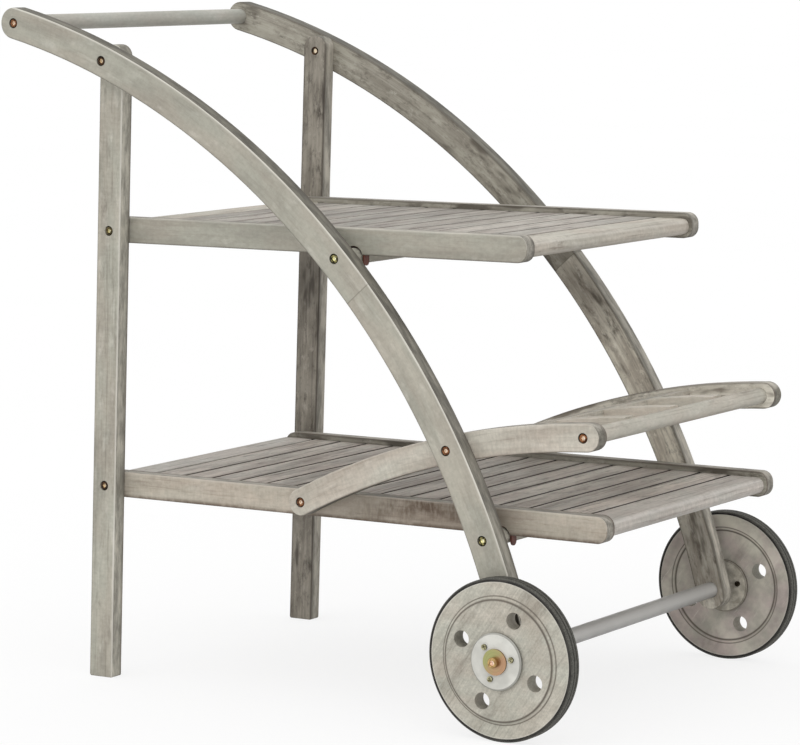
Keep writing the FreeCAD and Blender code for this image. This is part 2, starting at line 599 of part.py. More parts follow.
def make_shelf_rail(shelf, side):
    """Make a side rail with its notch over the crossbar, slat groove and bolt holes."""
    rear, clip = SHELVES[shelf]["rear"], SHELVES[shelf]["clip"]
    bar, bolt_hole = SHELVES[shelf]["bar"], SHELVES[shelf]["bolt_hole"]
    thickness = "sizes.rail_thickness"
    inner = "(%s - sizes.rail_thickness)" % SHELVES[shelf]["half"]
    body = add_body("%s_shelf_%s_rail" % (shelf, side), rear, board_y(side, inner, thickness), clip)
    sketch = add_sketch(body)
    length = rail_length(shelf)
    polygon(sketch, box_corners(None, "sizes.rail_lift", length, "sizes.rail_height"))
    board = add_pad(body, sketch, thickness)
    doc.recompute()
    tip = board.Shape.BoundBox.XMax
    front = dress_edges(body, board, lambda box, edge: across(box, edge) and box.XMin > tip - TOLERANCE,
                        "sizes.rail_front_round")
    rear_end = dress_edges(body, front, lambda box, edge: across(box, edge) and box.XMax < TOLERANCE,
                           "sizes.rail_rear_round")
    dress_edges(body, rear_end, on_faces, "sizes.rail_edge")
    notch = add_sketch(body)
    circles(notch, [("%s - %s" % (bar[0], rear), None)], "2 * " + NOTCH_RADIUS)
    add_pocket(body, notch, thickness, reverse=True)
    at_start = side == RIGHT
    groove = add_sketch(body, offset=None if at_start else thickness)
    polygon(groove, box_corners("sizes.rear_member_width", SLAT_FLOOR, slat_run(shelf),
                                "sizes.slat_thickness + sizes.groove_play"))
    add_pocket(body, groove, "sizes.groove_depth", reverse=at_start)
    depth = "sizes.rail_bolt_depth + sizes.bolt_tip_room"
    drill(body, side, thickness, "outer", [("sizes.rail_rear_overhang", RAIL_MIDDLE)], bolt_hole, depth)
    if shelf == "lower":
        place = ("%s - %s" % (REAR_BOLT[0], rear), "%s - %s" % (REAR_BOLT[1], clip))
        drill(body, side, thickness, "outer", [place], bolt_hole, depth)
    return body


def make_cross_rails(shelf):
    """Make a shelf's rear cross rail and its front one with a bullnose."""
    inner = "(%s - sizes.rail_thickness)" % SHELVES[shelf]["half"]
    front_start = "sizes.rear_member_width + " + slat_run(shelf)
    made = []
    for name, start, width, thickness in (
            ("rear", None, "sizes.rear_member_width", "sizes.rear_member_thickness"),
            ("front", front_start, "sizes.front_member_width", "sizes.front_member_thickness")):
        body = add_body("%s_shelf_%s_rail" % (shelf, name), SHELVES[shelf]["rear"], inner,
                        SHELVES[shelf]["clip"])
        sketch = add_sketch(body)
        polygon(sketch, box_corners(start, "%s - %s" % (SLAT_TOP, thickness), width, thickness))
        board = add_pad(body, sketch, "2 * " + inner)
        doc.recompute()
        tip = board.Shape.BoundBox.XMax
        top = board.Shape.BoundBox.ZMax
        if name == "front":
            nose = dress_edges(
                body, board, lambda box, edge: across(box, edge) and box.XMin > tip - TOLERANCE,
                "sizes.front_member_round")
            dress_edges(body, nose, lambda box, edge: across(box, edge) and box.ZMin > top - TOLERANCE
                        and box.XMax < tip - value["front_member_width"] / 2, "sizes.slat_edge")
        else:
            dress_edges(body, board, lambda box, edge: across(box, edge) and box.ZMin > top - TOLERANCE,
                        "sizes.slat_edge")
        made.append(body)
    return made


def make_slats(shelf):
    """Make a shelf's slats, whose ends sit in the side rails' grooves."""
    reach = "(%s - sizes.rail_thickness + sizes.groove_depth - sizes.slat_end_gap)" % SHELVES[shelf]["half"]
    gap = "sizes.%s_slat_gap" % shelf
    start = "%s + sizes.rear_member_width + %s" % (SHELVES[shelf]["rear"], gap)
    body = add_body("%s_shelf_slats" % shelf, start, reach, "%s + %s" % (SHELVES[shelf]["clip"], SLAT_FLOOR))
    sketch = add_sketch(body)
    polygon(sketch, box_corners(None, None, "sizes.slat_width", "sizes.slat_thickness"))
    slat = add_pad(body, sketch, "2 * " + reach)
    doc.recompute()
    top = slat.Shape.BoundBox.ZMax
    dress_edges(body, slat, lambda box, edge: across(box, edge) and box.ZMin > top - TOLERANCE,
                "sizes.slat_edge")
    row = body.newObject("PartDesign::LinearPattern", body.Label + "_row")
    row.TransformMode = "Whole shape"
    row.Direction = (sketch, ["H_Axis"])
    row.setExpression("Length", "(sizes.%s_slat_count - 1) * (sizes.slat_width + %s)" % (shelf, gap))
    row.setExpression("Occurrences", "sizes.%s_slat_count" % shelf)
    body.Tip = row
    return body


# Clips: brown saddles in the rails' notches, with two round-ended legs astride the crossbar.
def make_clips(shelf):
    """Make a shelf's two clips."""
    bar, half = SHELVES[shelf]["bar"], SHELVES[shelf]["half"]
    members = []
    for side in SIDES:
        inset = "(%s - (sizes.rail_thickness + sizes.clip_width) / 2)" % half
        place_y = board_y(side, inset, "sizes.clip_width")
        body = add_body("%s_shelf_%s_clip" % (shelf, side), bar[0], place_y, SHELVES[shelf]["clip"])
        hollow = "(sizes.bar_diameter + 2 * sizes.clip_side_gap)"
        outer = "(%s + 2 * sizes.clip_wall)" % hollow
        saddle = add_sketch(body)
        circles(saddle, [(None, None)], outer)
        add_pad(body, saddle, "sizes.clip_width")
        legs = add_sketch(body)
        straight = "(sizes.clip_leg - sizes.clip_width / 2)"
        polygon(legs, box_corners("-%s / 2" % outer, "-" + straight, outer, straight))
        add_pad(body, legs, "sizes.clip_width")
        for start in ("%s / 2" % hollow, "-%s / 2" % outer):
            tongue = add_sketch(body, "YZ_Plane", start)
            circles(tongue, [("-sizes.clip_width / 2", "-" + straight)], "sizes.clip_width")
            add_pad(body, tongue, "sizes.clip_wall")
        mouth = add_sketch(body)
        circles(mouth, [(None, None)], hollow)
        add_pocket(body, mouth, "sizes.clip_width", reverse=True)
        gap = add_sketch(body)
        polygon(gap, box_corners("-%s / 2" % hollow, "-%s" % outer, hollow, outer))
        add_pocket(body, gap, "sizes.clip_width", reverse=True)
        members.append(body)
    return add_group("%s_shelf_clips" % shelf, members)


# Front shelf.
def make_front_rail(side):
    """Make a bent side rail of the front shelf."""
    thickness = "sizes.leg_thickness"
    body = add_body("front_shelf_%s_rail" % side, FRONT_CENTRE[0], board_y(side, SHELF_HALF, thickness),
                    FRONT_CENTRE[1], CROWN_UP)
    sketch = add_sketch(body)
    tilt = value["front_rail_tilt"]
    guess = (value["front_rail_radius"], value["front_rail_width"], tilt - value["front_bolt_turn"],
             tilt + value["rear_bolt_turn"])
    bent_strip(sketch, "sizes.front_rail_radius", "sizes.front_rail_width", (TIP_TURN, True),
               (REAR_BOLT_TURN, True), guess)
    strip = add_pad(body, sketch, thickness)
    dress_edges(body, strip, on_faces, "sizes.rail_edge")
    arm_bolt = [on_front_rail(ARM_BOLT_TURN)]
    end_bolts = [on_front_rail(FRONT_BOLT_TURN), on_front_rail(REAR_BOLT_TURN)]
    drill(body, side, thickness, "outer", arm_bolt + end_bolts, BOLT_HOLE, thickness)
    drill(body, side, thickness, "outer", end_bolts, COUNTERBORE, COUNTERBORE_DEPTH)
    drill(body, side, thickness, "inner", arm_bolt, NUT_FLANGE_HOLE, NUT_FLANGE_DEPTH)
    drill(body, side, thickness, "inner", arm_bolt, NUT_BARREL_HOLE, NUT_BARREL_DEPTH)
    add_socket(body, side, thickness, on_front_rail(FRONT_BOLT_TURN), "sizes.front_bar_diameter")
    return body


def make_front_cross_rail():
    """Make the front shelf's rear cross rail, which follows the bend."""
    body = add_body("front_shelf_rear_rail", FRONT_CENTRE[0], SHELF_HALF, FRONT_CENTRE[1], CROWN_UP)
    sketch = add_sketch(body)
    rear = value["front_rail_tilt"] - value["cross_rail_turn"]
    front = rear - math.degrees(value["cross_rail_width"] / value["front_rail_radius"])
    guess = (value["front_rail_radius"], value["rib_height"], front, rear)
    bent_strip(sketch, RIB_RADIUS, "sizes.rib_height", (CROSS_FRONT_TURN, False), (CROSS_REAR_TURN, False),
               guess)
    strip = add_pad(body, sketch, "sizes.shelf_width")
    doc.recompute()
    middle = strip.Shape.BoundBox.XMax - value["rib_height"] / 2
    dress_edges(body, strip, lambda box, edge: across(box, edge) and box.XMin > middle, "sizes.rail_edge")
    return body


def make_rib(number):
    """Make a bent rib of the front shelf, hollowed at its front end to sit against the front bar."""
    pitch = "((sizes.shelf_width + sizes.rib_thickness) / (sizes.rib_count + 1))"
    middle = "(%d - (sizes.rib_count + 1) / 2) * %s" % (number, pitch)
    body = add_body("front_shelf_rib_%d" % number, FRONT_CENTRE[0], "%s + sizes.rib_thickness / 2" % middle,
                    FRONT_CENTRE[1], CROWN_UP)
    sketch = add_sketch(body)
    rear = value["front_rail_tilt"] - value["cross_rail_turn"]
    rear -= math.degrees(value["cross_rail_width"] / value["front_rail_radius"])
    front = value["front_rail_tilt"] - value["front_bolt_turn"]
    guess = (value["front_rail_radius"], value["rib_height"], front, rear)
    bent_strip(sketch, RIB_RADIUS, "sizes.rib_height", (RIB_FRONT_TURN, False), (CROSS_FRONT_TURN, False),
               guess)
    strip = add_pad(body, sketch, "sizes.rib_thickness")
    dress_edges(body, strip, lambda box, edge: on_faces(box, edge) and isinstance(edge.Curve, Part.Circle)
                and edge.Curve.Radius > value["front_rail_radius"], "sizes.rail_edge")
    hollow = add_sketch(body)
    circles(hollow, [on_front_rail(FRONT_BOLT_TURN)], "sizes.front_bar_diameter + 2 * sizes.bar_fit")
    add_pocket(body, hollow, "sizes.rib_thickness", reverse=True)
    return body


# Bolts, nuts and other turned hardware, made along +Y from the outside.
def make_bolt(label, shank, diameter, head, head_height, socket, socket_depth):
    """Make a socket bolt with its head's face at the origin."""
    body = add_body(label)
    sketch = add_sketch(body, "XY_Plane")
    bevel = "sizes.bolt_head_bevel"
    end = "%s + %s" % (head_height, shank)
    polygon(sketch, [(None, None), ("%s / 2 - %s" % (head, bevel), None), ("%s / 2" % head, bevel),
                     ("%s / 2" % head, head_height), ("%s / 2" % diameter, head_height),
                     ("%s / 2" % diameter, end), (None, end)])
    add_turning(body, sketch)
    key = add_sketch(body)
    polygon(key, hexagon(socket))
    add_pocket(body, key, socket_depth)
    return body


def frame_bolt(label, shank):
    """Make one of the frame's bolts, by its length under the head."""
    return make_bolt(label, shank, "sizes.bolt_diameter", "sizes.bolt_head_diameter",
                     "sizes.bolt_head_height", "sizes.bolt_socket", "sizes.bolt_socket_depth")


def make_ring(label, bore, diameter, length, x="0", y="0", z="0"):
    """Make a plain ring about the Y axis."""
    body = add_body(label, x, y, z)
    sketch = add_sketch(body, "XY_Plane")
    polygon(sketch, box_corners("(%s) / 2" % bore, None, "((%s) - (%s)) / 2" % (diameter, bore), length))
    add_turning(body, sketch)
    return body


def make_nut(label):
    """Make a flanged sleeve nut with its flange's face at the origin."""
    body = add_body(label)
    sketch = add_sketch(body, "XY_Plane")
    bore = "(%s) / 2" % THREAD_HOLE
    flange = "sizes.nut_flange_diameter / 2"
    barrel = "sizes.nut_barrel_diameter / 2"
    end = "sizes.nut_flange_height + sizes.nut_barrel_length"
    polygon(sketch, [(bore, None), (flange, None), (flange, "sizes.nut_flange_height"),
                     (barrel, "sizes.nut_flange_height"), (barrel, end), (bore, end)])
    add_turning(body, sketch)
    return body


def bolt_pair(name, target, place, face):
    """Place a bolt on each side of the trolley, its head sunk below the given face."""
    head = "(%s - sizes.counterbore_depth + sizes.bolt_head_height)" % face
    return [add_link(name + "_right", target, place[0], "-" + head, place[1]),
            add_link(name + "_left", target, place[0], head, place[1], HALF_TURN)]


def nut_pair(name, target, place, face):
    """Place a sleeve nut on each side, facing the middle of the trolley."""
    seat = "(%s + sizes.nut_recess)" % face
    return [add_link(name + "_right", target, place[0], "-" + seat, place[1], HALF_TURN),
            add_link(name + "_left", target, place[0], seat, place[1])]


# Wheels.
INNER_PLATE = "(%s + sizes.spacer_length + sizes.wheel_play)" % ARM_OUT
RIM_BAND = "(%s + sizes.hub_thickness - sizes.centre_recess)" % INNER_PLATE
OUTER_PLATE = "(%s + sizes.disc_thickness + sizes.centre_rise)" % RIM_BAND
WASHER = "(%s + sizes.hub_thickness + sizes.wheel_play)" % OUTER_PLATE
AXLE_HEAD = "(%s + sizes.washer_thickness)" % WASHER
RIM = "(sizes.tyre_radius - sizes.tyre_wall)"
SHOULDER_FOOT = "(%s - sizes.shoulder_inset)" % RIM
SHOULDER_TOP = "(%s - sizes.shoulder_width)" % SHOULDER_FOOT


def spin(place, turn):
    """Return a place at a distance from the axle and an angle from the front."""
    return "%s * cos(%s * 1 deg)" % (place, turn), "%s * sin(%s * 1 deg)" % (place, turn)


def ring_of(body, features, count):
    """Repeat features evenly round the axle."""
    ring = body.newObject("PartDesign::PolarPattern", body.Label + "_ring")
    ring.Originals = features
    ring.Axis = (origin_feature(body, "Y_Axis"), [""])
    ring.Angle = 360
    ring.setExpression("Occurrences", count)
    body.Tip = ring


def make_disc(side):
    """Make the wooden wheel disc, raised on its outer face and sunk on its inner one, with all its holes."""
    depth = "(sizes.disc_thickness + sizes.centre_rise)"
    if side == RIGHT:
        middle_in = "(%s - sizes.centre_recess)" % depth
        rim_in = depth
        rim_out = "sizes.centre_rise"
        middle_out = None
        centre = "sizes.centre_rise + sizes.disc_thickness / 2"
        groove_in = centre + " + sizes.rim_groove_width / 2"
        groove_out = centre + " - sizes.rim_groove_width / 2"
    else:
        middle_in = "sizes.centre_recess"
        rim_in = None
        rim_out = "sizes.disc_thickness"
        middle_out = depth
        centre = "sizes.disc_thickness / 2"
        groove_in = centre + " - sizes.rim_groove_width / 2"
        groove_out = centre + " + sizes.rim_groove_width / 2"
    body = add_body("%s_wheel_disc" % side, AXLE[0], turned_y(side, RIM_BAND, depth), AXLE[1])
    sketch = add_sketch(body, "XY_Plane")
    bore = "sizes.disc_bore / 2"
    rim_floor = RIM + " - sizes.rim_groove_depth"
    polygon(sketch, [(bore, middle_in), (SHOULDER_TOP, middle_in), (SHOULDER_FOOT, rim_in), (RIM, rim_in),
                     (RIM, groove_in), (rim_floor, groove_in), (rim_floor, groove_out), (RIM, groove_out),
                     (RIM, rim_out), (SHOULDER_FOOT, rim_out), (SHOULDER_TOP, middle_out),
                     (bore, middle_out)])
    add_turning(body, sketch)
    hole = add_sketch(body)
    circles(hole, [spin("sizes.wheel_hole_pitch", "sizes.%s_wheel_turn" % side)],
            "sizes.wheel_hole_diameter")
    ring_of(body, [add_pocket(body, hole, depth)], "sizes.wheel_hole_count")
    for plane, outward in ((middle_in, False), (middle_out, True)):
        pilot = add_sketch(body, offset=None if plane is None else "-" + plane)
        circles(pilot, [spin("sizes.hub_screw_pitch", "sizes.hub_turn")], SCREW_HOLE)
        cut = add_pocket(body, pilot, "sizes.screw_length - sizes.hub_thickness + sizes.bolt_tip_room",
                         reverse=(side == LEFT) == outward)
        ring_of(body, [cut], "sizes.hub_screw_count")
    return body


def make_tyre(side):
    """Make the ribbed tyre, whose base sits in the disc's rim groove."""
    width = "sizes.tyre_width"
    start = "%s + (sizes.disc_thickness - sizes.tyre_width) / 2" % RIM_BAND
    body = add_body("%s_tyre" % side, AXLE[0], turned_y(side, start, width), AXLE[1])
    sketch = add_sketch(body, "XY_Plane")
    tread = "sizes.tyre_radius"
    shoulder = "sizes.tyre_radius - sizes.tyre_shoulder"
    floor = "sizes.tyre_radius - sizes.tread_groove_depth"
    seat = RIM + " + sizes.tyre_fit"
    base = RIM + " - sizes.rim_groove_depth + sizes.tyre_fit"
    low = "(%s - sizes.rim_groove_width) / 2 + sizes.tyre_fit" % width
    high = "(%s + sizes.rim_groove_width) / 2 - sizes.tyre_fit" % width
    corners = [(seat, None), (shoulder, None), (tread, "sizes.tyre_shoulder")]
    for sign in "-+":
        middle = "%s / 2 %s sizes.tread_groove_pitch / 2" % (width, sign)
        near = middle + " - sizes.tread_groove_width / 2"
        far = middle + " + sizes.tread_groove_width / 2"
        corners += [(tread, near), (floor, near), (floor, far), (tread, far)]
    corners += [(tread, width + " - sizes.tyre_shoulder"), (shoulder, width), (seat, width), (seat, high),
                (base, high), (base, low), (seat, low)]
    polygon(sketch, corners)
    add_turning(body, sketch)
    return body


def make_hub_plate(label, side, inner):
    """Make a hub plate with its bore and screw holes."""
    thick = "sizes.hub_thickness"
    body = add_body(label, AXLE[0], turned_y(side, inner, thick), AXLE[1])
    sketch = add_sketch(body, "XY_Plane")
    bore = "(sizes.axle_bolt_diameter + sizes.running_gap) / 2"
    rim = "sizes.hub_diameter / 2"
    bevel = "sizes.hub_bevel"
    polygon(sketch, [(bore, None), (rim + " - " + bevel, None), (rim, bevel), (rim, thick + " - " + bevel),
                     (rim + " - " + bevel, thick), (bore, thick)])
    add_turning(body, sketch)
    hole = add_sketch(body)
    circles(hole, [spin("sizes.hub_screw_pitch", "sizes.hub_turn")], SCREW_HOLE)
    ring_of(body, [add_pocket(body, hole, thick)], "sizes.hub_screw_count")
    return body


def make_hub_screws(side):
    """Make the cross-slotted screws that hold a wheel's two hub plates."""
    members = []
    for face, seat in (("outer", "(%s + sizes.hub_thickness)" % OUTER_PLATE), ("inner", INNER_PLATE)):
        heads_back = (side == RIGHT) == (face == "outer")
        place_y = "-" + seat if side == RIGHT else seat
        body = add_body("%s_hub_%s_screws" % (side, face), AXLE[0], place_y, AXLE[1],
                        None if heads_back else Rotation(Vector(1, 0, 0), 180))
        turn = "sizes.hub_turn" if heads_back else "-sizes.hub_turn"
        middle = spin("sizes.hub_screw_pitch", turn)
        head = add_sketch(body)
        circles(head, [middle], "sizes.screw_head_diameter")
        top = add_pad(body, head, "sizes.screw_head_height")
        shank = add_sketch(body)
        circles(shank, [middle], "sizes.screw_shank_diameter")
        stem = add_pad(body, shank, "sizes.screw_length")
        stem.Reversed = True
        slot = add_sketch(body, offset="sizes.screw_head_height")
        polygon(slot, cross_corners(middle, "sizes.screw_slot_length / 2", "sizes.screw_slot_width / 2"))
        cut = add_pocket(body, slot, "sizes.screw_slot_depth")
        ring_of(body, [top, stem, cut], "sizes.hub_screw_count")
        members.append(body)
    return add_group("%s_hub_screws" % side, members)


for side in SIDES:
    pieces += [make_arm(side, "upper"), make_arm(side, "lower"), make_leg(side)]

BAR_END = "(%s + sizes.socket_depth)" % LEG_OUT
FRONT_BAR_END = "(%s + sizes.socket_depth)" % SHELF_HALF
pieces += [
    make_bar("handle_bar", HANDLE, BAR_END, "sizes.handle_diameter"),
    make_bar("upper_crossbar", UPPER_BAR, BAR_END, "sizes.bar_diameter"),
    make_bar("lower_crossbar", LOWER_BAR, BAR_END, "sizes.bar_diameter"),
]

for shelf in SHELVES:
    pieces += [make_shelf_rail(shelf, side) for side in SIDES]
    pieces += make_cross_rails(shelf)
    pieces += [make_slats(shelf), make_clips(shelf)]

pieces += [make_front_rail(side) for side in SIDES]
pieces += [make_front_cross_rail(),
           make_bar("front_shelf_bar", FRONT_BAR, FRONT_BAR_END, "sizes.front_bar_diameter")]
pieces += [make_rib(number) for number in range(1, value["rib_count"] + 1)]

# Fasteners of the frame, in groups by what they hold.
ARM_GRIP = "(sizes.arm_thickness - sizes.counterbore_depth)"
BOARD_GRIP = "(sizes.leg_thickness - sizes.counterbore_depth)"
IN_BAR = "sizes.bar_bolt_depth - sizes.socket_depth"
IN_NUT = "sizes.leg_thickness - sizes.nut_recess - sizes.nut_tip_gap"
ARM_TO_BAR = frame_bolt("arm_to_bar_bolt", "(%s + %s)" % (ARM_GRIP, IN_BAR))
ARM_TO_NUT = frame_bolt("arm_to_nut_bolt", "(%s + %s)" % (ARM_GRIP, IN_NUT))
BOARD_TO_RAIL = frame_bolt("board_to_rail_bolt", "(%s + sizes.rail_bolt_depth)" % BOARD_GRIP)
BOARD_TO_BAR = frame_bolt("board_to_bar_bolt", "(%s + %s)" % (BOARD_GRIP, IN_BAR))
SLEEVE_NUT = make_nut("sleeve_nut")
UPPER_PIVOT = (leg_middle(UPPER_BOLT), UPPER_BOLT)
LOWER_FIXING = (leg_middle(LOWER_BOLT), LOWER_BOLT)
pieces += [
    add_group("handle_bolts", bolt_pair("handle_bolt", ARM_TO_BAR, HANDLE, ARM_OUT)),
    add_group("crossbar_bolts", bolt_pair("upper_crossbar_bolt", ARM_TO_BAR, UPPER_BAR, ARM_OUT)
              + bolt_pair("lower_crossbar_bolt", ARM_TO_BAR, LOWER_BAR, ARM_OUT)),
    add_group("leg_bolts", bolt_pair("leg_bolt", ARM_TO_NUT, LEG_TOP, ARM_OUT)),
    add_group("front_shelf_arm_bolts",
              bolt_pair("front_shelf_arm_bolt", ARM_TO_NUT, FRONT_SHELF, ARM_OUT)),
    add_group("front_shelf_rear_bolts",
              bolt_pair("front_shelf_rear_bolt", BOARD_TO_RAIL, REAR_BOLT, LEG_OUT)),
    add_group("front_shelf_bar_bolts",
              bolt_pair("front_shelf_bar_bolt", BOARD_TO_BAR, FRONT_BAR, LEG_OUT)),
    add_group("upper_shelf_pivot_bolts",
              bolt_pair("upper_shelf_pivot_bolt", BOARD_TO_RAIL, UPPER_PIVOT, LEG_OUT)),
    add_group("lower_shelf_bolts", bolt_pair("lower_shelf_bolt", BOARD_TO_RAIL, LOWER_FIXING, LEG_OUT)),
    add_group("sleeve_nuts", nut_pair("leg_nut", SLEEVE_NUT, LEG_TOP, SHELF_HALF)
              + nut_pair("front_shelf_nut", SLEEVE_NUT, FRONT_SHELF, SHELF_HALF)),
]

# Axle tube with its plugs, and the bolts, washers and spacers that carry the wheels.
TUBE_BORE = "(sizes.tube_diameter - 2 * sizes.tube_wall)"
PLUG_DIAMETER = "(%s - 2 * sizes.plug_fit)" % TUBE_BORE
PLUG_BORE = "sizes.axle_bolt_diameter + sizes.thread_gap"
AXLE_BOLT = make_bolt("axle_bolt", "(%s - %s + sizes.axle_bolt_depth)" % (AXLE_HEAD, BAR_END),
                      "sizes.axle_bolt_diameter", "sizes.axle_head_diameter", "sizes.axle_head_height",
                      "sizes.axle_socket", "sizes.axle_socket_depth")
AXLE_FACE = "(%s + sizes.axle_head_height)" % AXLE_HEAD
PLUG = "(%s - sizes.plug_length)" % BAR_END
pieces += [
    make_ring("axle_tube", TUBE_BORE, "sizes.tube_diameter", "2 * " + BAR_END, AXLE[0], "-" + BAR_END,
              AXLE[1]),
    add_group("axle_bolts", [add_link("right_axle_bolt", AXLE_BOLT, AXLE[0], "-" + AXLE_FACE, AXLE[1]),
                             add_link("left_axle_bolt", AXLE_BOLT, AXLE[0], AXLE_FACE, AXLE[1], HALF_TURN)]),
]
for label, bore, diameter, length, inner in (
        ("axle_plug", PLUG_BORE, PLUG_DIAMETER, "sizes.plug_length", PLUG),
        ("axle_spacer", AXLE_HOLE, "sizes.spacer_diameter", "sizes.spacer_length", ARM_OUT),
        ("axle_washer", AXLE_HOLE, "sizes.washer_diameter", "sizes.washer_thickness", WASHER)):
    rings = [make_ring("%s_%s" % (side, label), bore, diameter, length, AXLE[0],
                       turned_y(side, inner, length), AXLE[1]) for side in SIDES]
    pieces.append(add_group(label + "s", rings))

for side in SIDES:
    pieces += [make_disc(side), make_tyre(side), make_hub_screws(side),
               make_hub_plate("%s_outer_hub_plate" % side, side, OUTER_PLATE),
               make_hub_plate("%s_inner_hub_plate" % side, side, INNER_PLATE)]

doc.recompute()
for item in doc.Objects:
    if "Invalid" in item.State or "Error" in item.State:
        raise RuntimeError("%s did not build: %s" % (item.Label, item.State))
    if item.TypeId == "PartDesign::Pocket" and item.Shape.Volume >= item.BaseFeature.Shape.Volume:
        raise RuntimeError("%s cuts nothing" % item.Label)
os.makedirs("parts", exist_ok=True)
for piece in pieces:
    if piece.Shape.isNull() or not piece.Shape.isValid():
        raise RuntimeError("%s has no sound shape" % piece.Label)
    piece.Shape.exportStep("parts/%s.step" % piece.Label)
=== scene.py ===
"""Give the tea trolley's solids their looks, and set its floor, light and camera."""
import math
from collections import namedtuple

import bpy
from mathutils import Matrix, Vector


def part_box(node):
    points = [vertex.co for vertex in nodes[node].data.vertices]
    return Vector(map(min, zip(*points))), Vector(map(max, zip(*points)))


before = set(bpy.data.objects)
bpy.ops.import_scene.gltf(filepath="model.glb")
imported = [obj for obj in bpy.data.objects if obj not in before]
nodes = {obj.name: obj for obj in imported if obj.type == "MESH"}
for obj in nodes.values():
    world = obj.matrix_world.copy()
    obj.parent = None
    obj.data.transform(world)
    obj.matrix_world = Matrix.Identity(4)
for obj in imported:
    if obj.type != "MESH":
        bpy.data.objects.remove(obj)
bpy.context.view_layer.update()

# Bends of the wood, in metres in the trolley's frame: centre of the bend, radius of its centre line, and the
# wood's width across it; and the arm's joint, as a way along its bend and half the width of its line.
Bend = namedtuple("Bend", "x z radius width")
ARM_BEND = Bend(-0.6493, -0.1475, 1.002, 0.039)
FRONT_BEND = Bend(0.4509, -0.6007, 0.957, 0.033)
ARM_JOINT_ALONG = math.radians(40.93) * ARM_BEND.radius
JOINT_LINE = 0.0012

# The legs lean forwards: where their middle meets the floor, their lean per metre of height, and their
# width; and the width of the shelf rails.
LEG_FOOT = -0.2967
LEG_LEAN = math.tan(math.radians(2.17))
LEG_WIDTH = 0.0348
RAIL_WIDTH = 0.032

# Slats' spacing in metres.
UPPER_PITCH = 0.04245
LOWER_PITCH = 0.042

# Dark lines at the rings turned in the wheel discs, partly dirt in the crevices and partly painted shade:
# radius and width in metres, and strength.
WHEEL_RINGS = ((0.0716, 0.0022, 0.95), (0.0758, 0.0014, 0.8))

# Direction of the scratches on the wheel discs, and of the drift in the washers' colour.
SLANT_X = 0.57
SLANT_Z = 0.82
DRIFT_TURN = math.radians(45)

# Sockets in metres: reach of the axle bolts' sockets, and how far below a head's face the shine starts and
# is full.
SOCKET_REACH = 0.0036
SHINE_START = 0.0006
SHINE_FULL = 0.0014

# Wear, dirt and painted light in metres: the boards' pale and dark rims, partly wear and stain and partly
# painted highlight and shade, and where front turns to back, ragged dirt on a bottom edge, where along the
# lower rails the dirt is and its reach, how far the wheel's painted shadow on an arm reaches, the reach of
# the painted shade beneath a shelf, how far from their edges the discs' rims get a painted highlight, and
# how far the tyres' crests turn pale.
RIM_FULL = 0.0010
RIM_END = 0.0026
TURN_REACH = 0.001
BOTTOM_FULL = 0.0015
BOTTOM_END = 0.006
RAIL_DIRT = (0.17, 0.2)
WHEEL_SHADOW_FULL = 0.075
WHEEL_SHADOW_END = 0.095
SHADE_REACH = 0.10
DISC_HIGHLIGHT_START = 0.0016
DISC_HIGHLIGHT_FULL = 0.0004
CREST_START = 0.0022
CREST_FULL = 0.0004

# Patterns in the grain: features per metre along it and across it, detail and roughness.
Pattern = namedtuple("Pattern", "along across detail roughness")
BROAD = Pattern(7.0, 38.0, 3.0, 0.55)
PATCHES = Pattern(26.0, 62.0, 4.0, 0.6)
SCUFFS = Pattern(22.0, 95.0, 5.0, 0.7)
STREAKS = Pattern(9.0, 320.0, 4.0, 0.6)
MOTTLE = Pattern(130.0, 260.0, 4.0, 0.7)
CHATTER = Pattern(300.0, 90.0, 3.0, 0.6)
HUE = Pattern(11.0, 30.0, 2.0, 0.55)
THIN_PATCHES = Pattern(15.0, 60.0, 4.0, 0.65)
RUNS = Pattern(7.0, 280.0, 4.0, 0.6)
BLOTS = Pattern(24.0, 62.0, 5.0, 0.72)
FINE_SCUFFS = Pattern(90.0, 170.0, 5.0, 0.75)
RUBBED = Pattern(50.0, 90.0, 5.0, 0.75)
KNOTS = Pattern(11.0, 44.0, 3.0, 0.55)
FIBRE = Pattern(40.0, 1400.0, 3.0, 0.55)
SOIL = Pattern(9.0, 26.0, 4.0, 0.6)
TORN = Pattern(60.0, 40.0, 4.0, 0.65)
RUBBED_EDGE = Pattern(24.0, 90.0, 5.0, 0.7)
SCRATCHES = Pattern(22.0, 430.0, 4.0, 0.65)
SMEARS = Pattern(9.0, 32.0, 5.0, 0.65)
TYRE_BANDS = Pattern(6.0, 420.0, 3.0, 0.55)

# Patterns without a direction: features per metre, detail and roughness.
Cloud = namedtuple("Cloud", "scale detail roughness")
HAZE = Cloud(26.0, 3.0, 0.6)
DISC_SPECKS = Cloud(420.0, 4.0, 0.7)
DISC_MOTTLE = Cloud(24.0, 5.0, 0.62)
TYRE_SPECKS = Cloud(700.0, 3.0, 0.5)
WASHER_CLOUDS = Cloud(90.0, 2.0, 0.5)
METAL_CLOUDS = Cloud(320.0, 3.0, 0.5)
METAL_SPECKS = Cloud(1300.0, 3.0, 0.5)
FLOOR_CLOUDS = Cloud(1.5, 2.0, 0.5)

# Turned rings per metre on the washers.
WASHER_RINGS = 900.0

# Depth of the dents in metres: in sawn wood, in turned wood, in rubber, and in paint and metal.
SAWN_DENT = 0.0005
TURNED_DENT = 0.0004
RUBBER_DENT = 0.0003
FINE_DENT = 0.0002

# Arrises by how far the surface looks the same way as the broad face: middle and reach. First the two of a
# side board, then where the other pieces get pale and dark arrises, partly wear and stain and partly painted
# highlight and shade.
OUTER_ARRIS = (0.62, 0.36)
INNER_ARRIS = (-0.4, 0.38)
PALE_ARRIS = (0.66, 0.33)
DARK_ARRIS = (0.30, 0.28)

